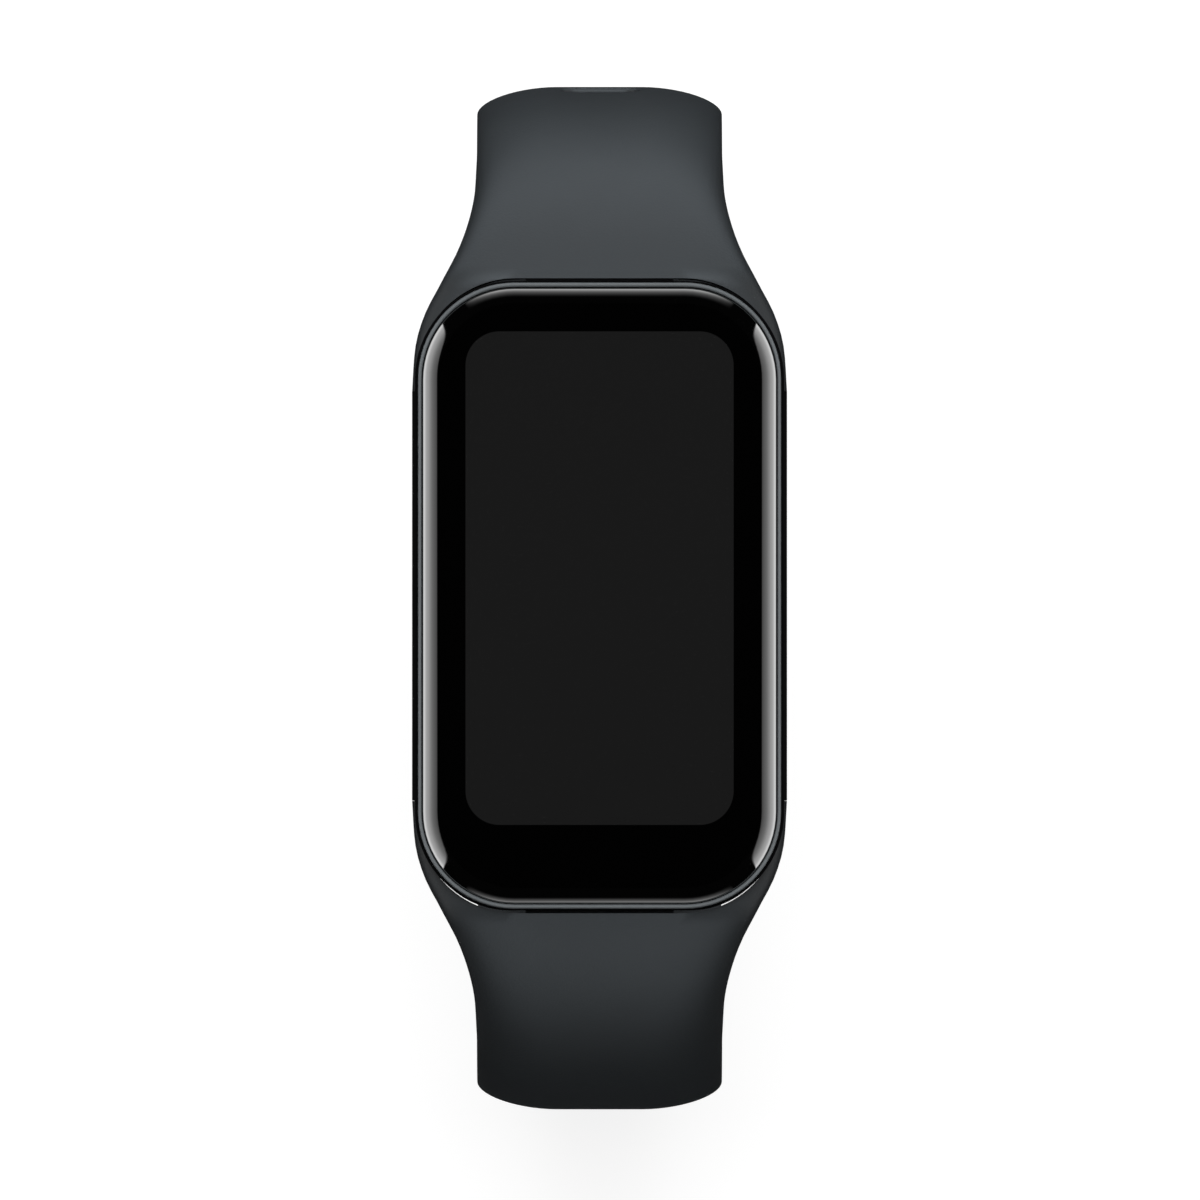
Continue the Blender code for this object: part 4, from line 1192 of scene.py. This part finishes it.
    def rings(self, side: Side, length: float, tip: bool) -> list[list[Point]]:
        """Every ring of a strap, from beside the case to its end.

        Args:
            side: The strap.
            length: Its length from the case.
            tip: Whether it ends in a rounded tip.

        Returns:
            The rings in order.
        """
        found = []
        for index in range(self.root_rings):
            y = self.step_at + (self.strap_start - self.step_at) * index / self.root_rings
            found.append(self.ring(side, y, self.seam_z, 0.0, self.half_width_at(y), self.root_thickness, 0.0))
        straight = length - (self.tip_rounding if tip else 0.0)
        total = round(straight / self.ring_step)
        stations = [straight * index / total for index in range(total + (0 if tip else 1))]
        if tip:
            stations += [straight + self.tip_rounding * share for share in self.tip_stations]
        for along in stations:
            y, z, angle = self.place(side, along)
            blend = ease(along / self.root_length)
            lean = angle * ease(along / (0.65 * self.root_length))
            deep = self.root_thickness + (self.thickness - self.root_thickness) * blend ** 0.6
            half = self.half_width_at(y) if along < self.root_length * 1.5 else self.half_narrow
            squeeze = 1.0
            if tip and along > straight:
                over = (along - straight) / self.tip_rounding
                half *= self.tip_share + (1 - self.tip_share) * math.sqrt(max(1 - over * over, 0.0))
                near = max(1 - (length - along) / self.tip_edge, 0.0)
                shave = self.tip_edge * (1 - math.sqrt(max(1 - near * near, 0.0)))
                half, squeeze = half - shave * 0.6, 1 - 2 * shave / deep
            found.append(self.ring(side, y, z, lean, half, deep, blend, squeeze))
        return found

    def core_tool(self) -> bmesh.types.BMesh:
        """The case's straight core, grown by the seam, which the straps are cut to."""
        work = bmesh.new()
        bridge(work, [rounded_loop(work, *self.core, height, steps=24) for height in (20.0, 80.0)])
        return work

    def pocket_tool(self, side: Side) -> bmesh.types.BMesh:
        """The room for the strap release, open towards the wearer.

        Args:
            side: The strap.

        Returns:
            The tool.
        """
        work = bmesh.new()
        left, near, low = self.pocket_near
        right, far, high = self.pocket_far
        first, last = sorted((side.value * near, side.value * far))
        box(work, (left, first, low), (right, last, high), self.pocket_edge)
        return work

    def slot_tool(self) -> bmesh.types.BMesh:
        """All the adjusting slots, each flared a little where it breaks the strap's faces."""
        work = bmesh.new()
        half_x, half_y = self.slot_half
        depths = [
            *self.slot_flare, *[(self.thickness - depth, out) for depth, out in reversed(self.slot_flare)]]
        for index in range(self.slot_count):
            y, z, angle = self.place(Side.TAIL, self.slot_first + self.slot_pitch * index)
            before = set(work.verts)
            bridge(work, [
                rounded_loop(work, half_x + out, half_y + out, half_y + out, -depth, steps=10)
                for depth, out in depths])
            verts = [vert for vert in work.verts if vert not in before]
            turn = Matrix.Translation((0, y, z)) @ Matrix.Rotation(-angle, 4, "X")
            bmesh.ops.transform(work, matrix=turn, verts=verts)
        return work

    def pin(self) -> tuple[float, float]:
        """The buckle pin's place: Y and height."""
        y, z, angle = self.place(Side.BUCKLE, self.buckle_length)
        half = self.thickness / 2
        return -(y - half * math.sin(angle)), z - half * math.cos(angle)

    def curl_centre(self) -> tuple[float, float]:
        """The centre that the buckle strap's tighter curl turns about: Y and height."""
        y, z, angle = self.place(Side.BUCKLE, self.buckle_length)
        return -(y - self.curl_radius * math.sin(angle)), z - self.curl_radius * math.cos(angle)

    def build_tail(self) -> bpy.types.Object:
        """The tail strap with its slots."""
        work = bmesh.new()
        bridge(work, [point_loop(work, ring) for ring in self.rings(Side.TAIL, self.tail_length, True)])
        strap = finish_piece("tail_band", work, [STRAP])
        return carve(strap, self.core_tool(), self.pocket_tool(Side.TAIL), self.slot_tool())

    def build_buckle_strap(self) -> bpy.types.Object:
        """The buckle strap, ending in the knuckle that holds the pin."""
        work = bmesh.new()
        bridge(work, [point_loop(work, ring) for ring in self.rings(Side.BUCKLE, self.buckle_length, False)])
        strap = finish_piece("buckle_band", work, [STRAP])
        notch = bmesh.new()
        rod(notch, (0, *self.pin()), self.notch_radius, self.notch_width, segments=64)
        return carve(strap, self.core_tool(), self.pocket_tool(Side.BUCKLE), notch)

    def build_knuckles(self) -> bpy.types.Object:
        """The strap's rolled end to each side of the tongue."""
        work = bmesh.new()
        for side in (1, -1):
            middle = (side * self.knuckle_middle, *self.pin())
            verts = rod(work, middle, self.knuckle_radius, self.knuckle_length)
            soften(work, rims_of(edges_of(verts)), self.knuckle_edge)
        return finish_piece("strap_knuckles", work, [STRAP])

    def build_keeper(self) -> bpy.types.Object:
        """The free loop that holds the tail, a rounded band swept round the strap."""
        work = bmesh.new()
        centre_y, centre_z = self.curl_centre()
        y, z, _ = self.place(Side.BUCKLE, self.buckle_length - self.keeper_back)
        outward = Vector((0, -y - centre_y, z - centre_z)).normalized()
        along = Vector((1, 0, 0)).cross(outward)
        half_wall, half_long, edge = self.keeper_wall / 2, self.keeper_half_long, self.keeper_edge
        profile = []
        for index in range(self.keeper_steps):
            turn = 2 * math.pi * index / self.keeper_steps
            profile.append((
                math.copysign(half_wall - edge, math.cos(turn)) + edge * math.cos(turn),
                math.copysign(half_long - edge, math.sin(turn)) + edge * math.sin(turn)))
        loops = []
        half_x, half_z = self.keeper_room
        for across, up, turn in self.keeper_path(half_x + half_wall, half_z + half_wall, self.keeper_corner):
            normal = Vector((math.cos(turn), 0, 0)) + outward * math.sin(turn)
            origin = Vector((across, centre_y, centre_z)) + outward * (self.curl_radius + up)
            loops.append(point_loop(work, [origin + normal * out + along * run for out, run in profile]))
        bridge(work, loops, closed=True)
        return finish_piece("strap_keeper", work, [STRAP], sharp_angle=SOFT_ANGLE)

    @staticmethod
    def keeper_path(half_x: float, half_z: float, corner: float) -> list[tuple[float, float, float]]:
        """The middle of the keeper's wall.

        Args:
            half_x: Half its width.
            half_z: Half its height.
            corner: The radius of its corners.

        Returns:
            For each point its place across, its place outward and the angle that it faces.
        """
        found = []
        for quarter, (side_x, side_z) in enumerate(((1, 1), (-1, 1), (-1, -1), (1, -1))):
            for step in range(11):
                turn = math.pi / 2 * (quarter + step / 10)
                found.append((
                    side_x * (half_x - corner) + corner * math.cos(turn),
                    side_z * (half_z - corner) + corner * math.sin(turn), turn))
        return found

    def bend(self, strap: bpy.types.Object) -> bpy.types.Object:
        """Bakes a strap's placement into its mesh, and returns it.

        Args:
            strap: The piece.

        Returns:
            The piece.
        """
        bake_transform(strap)
        return strap

    def build(self) -> None:
        """Builds the straps, their knuckles and the keeper, and settles the knuckles and the keeper."""
        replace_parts(self.bend(self.build_tail()), "tail_strap")
        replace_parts(self.bend(self.build_buckle_strap()), "buckle_strap")
        settle(self.build_knuckles(), "buckle_side", "strap_rubber")
        settle(self.build_keeper(), "keeper", "strap_rubber", "keeper_loop")
        LOG.info("band built")


# --- buckle ---------------------------------------------------------------------------------------
@dataclass
class Buckle:
    """The buckle's frame, pin and tongue, about the pin's middle. Millimetres."""

    pin: tuple[float, float]
    inner: float = 8.65
    outer: float = 10.25
    half_high: float = 1.3
    reach: float = 11.6
    bar: float = 2.4
    outer_corner: float = 3.0
    inner_corner: float = 0.7
    edge: float = 0.42
    pin_radius: float = 0.65
    pin_half: float = 9.65
    tongue_half: float = 2.0
    tongue_thickness: float = 0.9
    knuckle: float = 1.6
    corner_steps: int = 12
    arm_shares: tuple[tuple[float, float], ...] = (
        (-1.5, 0.25), (-1.42, 0.5), (-1.25, 0.72), (-1.0, 0.88), (-0.6, 0.98), (0.0, 1.0), (2.0, 1.0),
        (4.0, 1.0), (6.0, 1.0))
    pin_edge: float = 0.12
    tongue_edge: float = 0.16

    def rail(self) -> list[tuple[tuple[float, float], tuple[float, float]]]:
        """Inner and outer points of the frame's right half, from the arm's end to the middle of the bar."""
        found = []
        middle = (self.inner + self.outer) / 2
        for y, share in self.arm_shares:
            half = (self.outer - self.inner) / 2 * share
            found.append(((middle - half, y), (middle + half, y)))
        inner_y = self.reach - self.bar
        for step in range(self.corner_steps + 1):
            turn = math.pi / 2 * step / self.corner_steps
            found.append((
                (self.inner - self.inner_corner + self.inner_corner * math.cos(turn),
                 inner_y - self.inner_corner + self.inner_corner * math.sin(turn)),
                (self.outer - self.outer_corner + self.outer_corner * math.cos(turn),
                 self.reach - self.outer_corner + self.outer_corner * math.sin(turn))))
        for x in (6.0, 4.0, 2.0, 0.0):
            found.append(((x, inner_y), (x, self.reach)))
        return found

    def build_frame(self) -> bpy.types.Object:
        """The U-shaped frame, swept with a rounded section and mirrored."""
        work = bmesh.new()
        pin_y, pin_z = self.pin
        half = self.rail()
        full = half + [((-near[0], near[1]), (-far[0], far[1])) for near, far in reversed(half[:-1])]
        loops = []
        for index, (near, far) in enumerate(full):
            across = Vector((far[0] - near[0], far[1] - near[1], 0))
            middle = Vector(((near[0] + far[0]) / 2, (near[1] + far[1]) / 2 + pin_y, pin_z))
            width = across.length / 2
            share = min(width / 0.8, 1.0)
            at_end = min(index, len(full) - 1 - index) < 2
            high = self.half_high * (0.55 + 0.45 * share) if at_end else self.half_high
            edge = min(self.edge, width * 0.9)
            direction = across.normalized()
            points = []
            for corner, (sign_a, sign_z) in enumerate(((1, 1), (-1, 1), (-1, -1), (1, -1))):
                for step in range(5):
                    turn = math.pi / 2 * (corner + step / 4)
                    points.append(
                        middle + direction * (sign_a * (width - edge) + edge * math.cos(turn))
                        + Vector((0, 0, sign_z * (high - edge) + edge * math.sin(turn))))
            loops.append(point_loop(work, points))
        bridge(work, loops)
        return finish_piece("buckle_loop", work, [BUCKLE], sharp_angle=BUCKLE_ANGLE)

    def build_pin(self) -> bpy.types.Object:
        """The steel pin, with chamfered ends."""
        work = bmesh.new()
        rod(work, (0, *self.pin), self.pin_radius, 2 * self.pin_half)
        soften(work, rims_of(work.edges), self.pin_edge, 3)
        return finish_piece("steel_pin", work, [STEEL])

    def build_tongue(self) -> bpy.types.Object:
        """The tongue: its side view is drawn once, pushed across to its width, and its edges rounded."""
        work = bmesh.new()
        pin_y, pin_z = self.pin
        top = -self.half_high - 0.1
        low = top - self.tongue_thickness
        end = self.reach - 0.3
        points = []
        for step in range(19):
            turn = math.radians(-20 + 250 * step / 18)
            points.append((self.knuckle * math.cos(turn), self.knuckle * math.sin(turn)))
        points += [(-0.6, low + 0.02), (0.4, low), (2.0, low), (5.0, low), (8.0, low), (end - 1.2, low)]
        nose = self.tongue_thickness / 2
        for step in range(9):
            turn = math.radians(-90 + 180 * step / 8)
            points.append((end - nose + nose * math.cos(turn), (top + low) / 2 + nose * math.sin(turn)))
        points += [
            (end - 1.2, top), (8.0, top), (5.0, top), (3.4, top + 0.05), (2.4, top + 0.3), (1.8, top + 0.65)]
        loop = point_loop(work, [(-self.tongue_half, pin_y + y, pin_z + z) for y, z in points])
        bmesh.ops.contextual_create(work, geom=loop)
        pushed = bmesh.ops.extrude_face_region(work, geom=work.faces[:])["geom"]
        verts = [item for item in pushed if isinstance(item, bmesh.types.BMVert)]
        bmesh.ops.translate(work, vec=(2 * self.tongue_half, 0, 0), verts=verts)
        soften(work, rims_of(work.edges), self.tongue_edge, 3)
        return finish_piece("buckle_prong", work, [BUCKLE], sharp_angle=BUCKLE_ANGLE)

    def build(self) -> None:
        """Builds the buckle and settles it."""
        settle(self.build_frame(), "buckle", "buckle_plastic", "buckle_frame")
        settle(self.build_pin(), "buckle", "steel", "buckle_pin")
        settle(self.build_tongue(), "tongue", "buckle_plastic", "buckle_tongue")
        LOG.info("buckle built")


# --- strap release --------------------------------------------------------------------------------
@dataclass
class Release:
    """The sliding latch under a strap's root, with a ribbed pad for the fingernail. Millimetres."""

    side: Side
    half_width: float = 2.45
    half_rib: float = 0.14
    rib_edge: float = 0.06
    rib_margin: float = 0.3
    front: float = 19.0
    block_back: float = 21.1
    back: float = 21.92
    low: float = 51.55
    high: float = 53.2
    pad_front: float = 21.57
    pad_low: float = 50.95
    rib_count: int = 5

    def build(self) -> None:
        """Builds the latch and settles it on its slide."""
        work = bmesh.new()
        sign = self.side.value

        def block(near: float, far: float, low: float, high: float, half: float, rounding: float) -> None:
            """Adds one rounded block.

            Args:
                near: The distance from the case's middle where it starts.
                far: Where it ends.
                low: Its lowest height.
                high: Its highest.
                half: Half its width.
                rounding: The radius of its edges.
            """
            low_y, high_y = sorted((sign * near, sign * far))
            box(work, (-half, low_y, low), (half, high_y, high), rounding)

        block(self.front, self.block_back, self.low, self.high, self.half_width, 0.15)
        block(self.block_back - 0.3, self.back, self.low, self.low + 0.25, self.half_width - 0.05, 0.05)
        block(self.pad_front, self.back, self.pad_low + 0.1, self.low + 0.15, self.half_width - 0.02, 0.08)
        first = self.rib_margin - self.half_width
        pitch = 2 * (self.half_width - self.rib_margin) / self.rib_count
        for index in range(self.rib_count):
            x = first + pitch * (index + 0.5)
            low_y, high_y = sorted((sign * (self.pad_front + 0.03), sign * (self.back - 0.03)))
            low, high = (x - self.half_rib, low_y, self.pad_low), (x + self.half_rib, high_y, self.low)
            box(work, low, high, self.rib_edge)
        name = "tail" if self.side is Side.TAIL else "buckle"
        piece = finish_piece(f"latch_pad_{name}", work, [BUCKLE])
        settle(piece, f"latch_{name}", "buckle_plastic", f"release_latch_{name}")


# --- surroundings ---------------------------------------------------------------------------------
@dataclass
class Studio:
    """Floor, camera, soft lamps and the light that polished surfaces mirror. Metres."""

    lens: float = 1600.0
    sensor: float = 36.0
    picture_width: float = 0.0812
    sharp_height: float = 0.046
    aim: tuple[float, float] = (0.00003, -0.00019)
    lean: float = 0.025
    lamps: tuple[tuple[str, Point, tuple[float, float], float], ...] = (
        ("key_lamp", (0.0, 0.31, 1.16), (0.7, 0.7), 12.0),
        ("back_lamp", (0.0, 1.0, 0.65), (0.6, 0.6), 5.0),
        ("under_lamp", (0.0, -0.25, -1.0), (0.8, 0.8), 16.0))
    ambient: float = 0.06
    sheen_colour: tuple[float, float, float] = (0.89, 1.0, 1.09)
    sheen_lamps: tuple[tuple[float, tuple[float, float], float], ...] = (
        (30.0, (0.5, 0.3), 11.0), (97.0, (1.6, 0.35), 9.2), (-62.0, (0.5, 0.3), 2.9), (-80.0, (0.5, 0.3), 1.3))
    aim_height: float = 0.045
    satin_pieces: tuple[str, ...] = (
        "tail_band", "buckle_band", "strap_knuckles", "strap_keeper", "buckle_loop", "buckle_prong",
        "steel_pin")
    box_strength: float = 2.0
    box_spread: tuple[float, float] = (0.84, 0.985)
    side_box: tuple[tuple[float, float], ...] = (
        (-0.25, 0.0), (-0.15, 0.95), (0.265, 1.0), (0.62, 0.6), (0.8, 0.48), (0.89, 0.34),
        (0.947, 0.22), (0.979, 0.165), (0.9968, 0.115), (0.9999, 0.08))
    far_box: tuple[tuple[float, float], ...] = (
        (-0.08, 0.0), (0.02, 0.58), (0.2, 0.55), (0.65, 0.13), (0.87, 0.012), (0.92, 0.0))
    near_box: tuple[tuple[float, float], ...] = (
        (-0.08, 0.0), (0.02, 0.34), (0.37, 0.17), (0.75, 0.008), (0.82, 0.0))

    def build_floor(self) -> None:
        """A wide pale floor that shows white, and that doesn't stain the dark band with its light."""
        work = bmesh.new()
        bmesh.ops.create_grid(work, x_segments=4, y_segments=4, size=6.0)
        mesh = bpy.data.meshes.new("floor")
        work.to_mesh(mesh)
        work.free()
        floor = bpy.data.objects.new("floor", mesh)
        bpy.context.scene.collection.objects.link(floor)
        material = bpy.data.materials.new("pale_floor")
        material.use_nodes = True
        nodes = Nodes(material.node_tree)
        material.node_tree.nodes.remove(material.node_tree.nodes["Principled BSDF"])
        paper = nodes.add("BsdfDiffuse")
        drift = nodes.group(Effects.tone(), Color=(0.26, 0.26, 0.26, 1), Size=0.3, Amount=0.02)
        nodes.feed(paper.inputs["Color"], drift.outputs[0])
        glow = nodes.add("Emission")
        glow.inputs["Strength"].default_value = 0.86
        both = nodes.add("AddShader")
        nodes.feed(both.inputs[0], paper.outputs[0])
        nodes.feed(both.inputs[1], glow.outputs[0])
        clear = nodes.add("BsdfTransparent")
        seen = nodes.add("MixShader")
        nodes.feed(seen.inputs[0], nodes.add("NewGeometry").outputs["Backfacing"])
        nodes.feed(seen.inputs[1], both.outputs[0])
        nodes.feed(seen.inputs[2], clear.outputs[0])
        nodes.feed(material.node_tree.nodes["Material Output"].inputs["Surface"], seen.outputs[0])
        mesh.materials.append(material)
        floor.visible_diffuse = False
        floor.visible_glossy = False
        floor.visible_shadow = False

    def build_camera(self) -> None:
        """The camera, straight above the display."""
        camera = bpy.data.cameras.new("camera")
        camera.type = "PERSP"
        camera.lens = self.lens
        camera.sensor_width = self.sensor
        camera.clip_start, camera.clip_end = 0.01, 50.0
        holder = bpy.data.objects.new("camera", camera)
        target = Vector((*self.aim, self.sharp_height))
        holder.location = target + Vector((0, -self.lean, self.lens * self.picture_width / self.sensor))
        holder.rotation_euler = (target - holder.location).to_track_quat("-Z", "Y").to_euler()
        bpy.context.scene.collection.objects.link(holder)
        bpy.context.scene.camera = holder

    def build_lamp(
        self, name: str, place: Point, size: tuple[float, float], power: float,
        only: bpy.types.Collection | None = None,
    ) -> None:
        """A soft lamp aimed at the band.

        Args:
            name: The lamp's name.
            place: Where it stands.
            size: Its width and height.
            power: Its power in watts.
            only: The pieces that it lights. A lamp for every piece isn't mirrored by any.
        """
        lamp = bpy.data.lights.new(name, "AREA")
        lamp.shape = "RECTANGLE"
        lamp.size, lamp.size_y = size
        lamp.energy = power
        holder = bpy.data.objects.new(name, lamp)
        holder.location = place
        holder.rotation_mode = "QUATERNION"
        holder.rotation_quaternion = (Vector((0, 0, self.aim_height)) - Vector(place)).to_track_quat("-Z", "Y")
        holder.visible_camera = False
        bpy.context.scene.collection.objects.link(holder)
        if only is None:
            holder.visible_glossy = False
        else:
            lamp.color = self.sheen_colour
            holder.light_linking.receiver_collection = only

    def build_world(self) -> None:
        """Plain surroundings: white to the camera, dim to matt surfaces, soft boxes to polished ones."""
        world = bpy.data.worlds.new("studio")
        world.use_nodes = True
        bpy.context.scene.world = world
        world.cycles.sampling_method = "NONE"
        tree = world.node_tree
        nodes = Nodes(tree)
        parts = nodes.add("SeparateXYZ")
        nodes.feed(parts.inputs[0], nodes.add("TexCoord").outputs["Generated"])
        x, y, z = parts.outputs
        flat = nodes.math("SQRT", nodes.math(
            "ADD", nodes.math("MULTIPLY", x, x), nodes.math("MULTIPLY", y, y)))
        wide = nodes.math("MULTIPLY", nodes.math("ABSOLUTE", x), 0.8)
        reach = nodes.math("SUBTRACT", wide, nodes.math("MULTIPLY", z, 0.03))
        sideways = nodes.math("SUBTRACT", reach, nodes.math("ABSOLUTE", y))
        onward = nodes.math("DIVIDE", y, flat)

        def lobe(mask: object, heights: Sequence[tuple[float, float]]) -> bpy.types.NodeSocket:
            """Brightness inside a mask.

            Args:
                mask: The mask.
                heights: The brightness at each height of the direction, from -1 to 1.

            Returns:
                The brightness.
            """
            ramp = nodes.add("ValToRGB")
            stops = ramp.color_ramp.elements
            while len(stops) < len(heights):
                stops.new(0.5)
            for stop, (place, value) in zip(stops, heights):
                stop.position = (place + 1) / 2
                stop.color = (value, value, value, 1)
            nodes.feed(ramp.inputs[0], nodes.math("MULTIPLY", nodes.math("ADD", z, 1.0), 0.5))
            return nodes.math("MULTIPLY", ramp.outputs[0], mask)

        sides = lobe(nodes.remap(sideways, 0.0, 0.02, 0.0, 1.0), self.side_box)
        low, high = self.box_spread
        far = lobe(nodes.remap(onward, low, high, 0.0, 1.0), self.far_box)
        near = lobe(nodes.remap(onward, -high, -low, 1.0, 0.0), self.near_box)
        glossy = nodes.math("ADD", nodes.math("ADD", sides, far), nodes.math("ADD", near, 0.001))
        glossy = nodes.math("MULTIPLY", glossy, self.box_strength)
        kind = nodes.add("LightPath")
        level = nodes.add("Mix", data_type="FLOAT")
        nodes.feed(level.inputs[0], kind.outputs[RayKind.GLOSSY.value])
        nodes.feed(level.inputs[2], self.ambient)
        nodes.feed(level.inputs[3], glossy)
        final = nodes.add("Mix", data_type="FLOAT")
        nodes.feed(final.inputs[0], kind.outputs[RayKind.CAMERA.value])
        nodes.feed(final.inputs[2], level.outputs[0])
        nodes.feed(final.inputs[3], 1.0)
        nodes.feed(tree.nodes["Background"].inputs["Color"], final.outputs[0])

    def build(self) -> None:
        """Builds the surroundings."""
        self.build_floor()
        self.build_camera()
        self.build_world()
        for lamp in self.lamps:
            self.build_lamp(*lamp)
        satin = bpy.data.collections.new("satin_pieces")
        for name in self.satin_pieces:
            satin.objects.link(bpy.data.objects[name])
        for number, (turn, size, power) in enumerate(self.sheen_lamps):
            angle = math.radians(turn)
            place = (0.0, math.sin(angle), self.aim_height + math.cos(angle))
            self.build_lamp(f"sheen_lamp_{number}", place, size, power, satin)
        bpy.context.scene.view_settings.view_transform = "Standard"
        LOG.info("studio built")


def dress_nodes() -> None:
    """Gives each carried-over node the finish of its own material slot."""
    for name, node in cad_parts.items():
        for holder in node.material_slots:
            key = holder.material.name.split(".")[0]
            holder.material = CAD_FINISHES[key].material()
            LOG.info("%s wears %s", name, key)


def main() -> None:
    """Builds every sub-assembly in order and reports it."""
    logging.basicConfig(level=logging.INFO, format="%(name)s: %(message)s")
    dress_nodes()
    Case().build()
    band = Band()
    band.build()
    Buckle(band.pin()).build()
    for side in Side:
        Release(side).build()
    Studio().build()


if __name__ == "__main__":
    main()
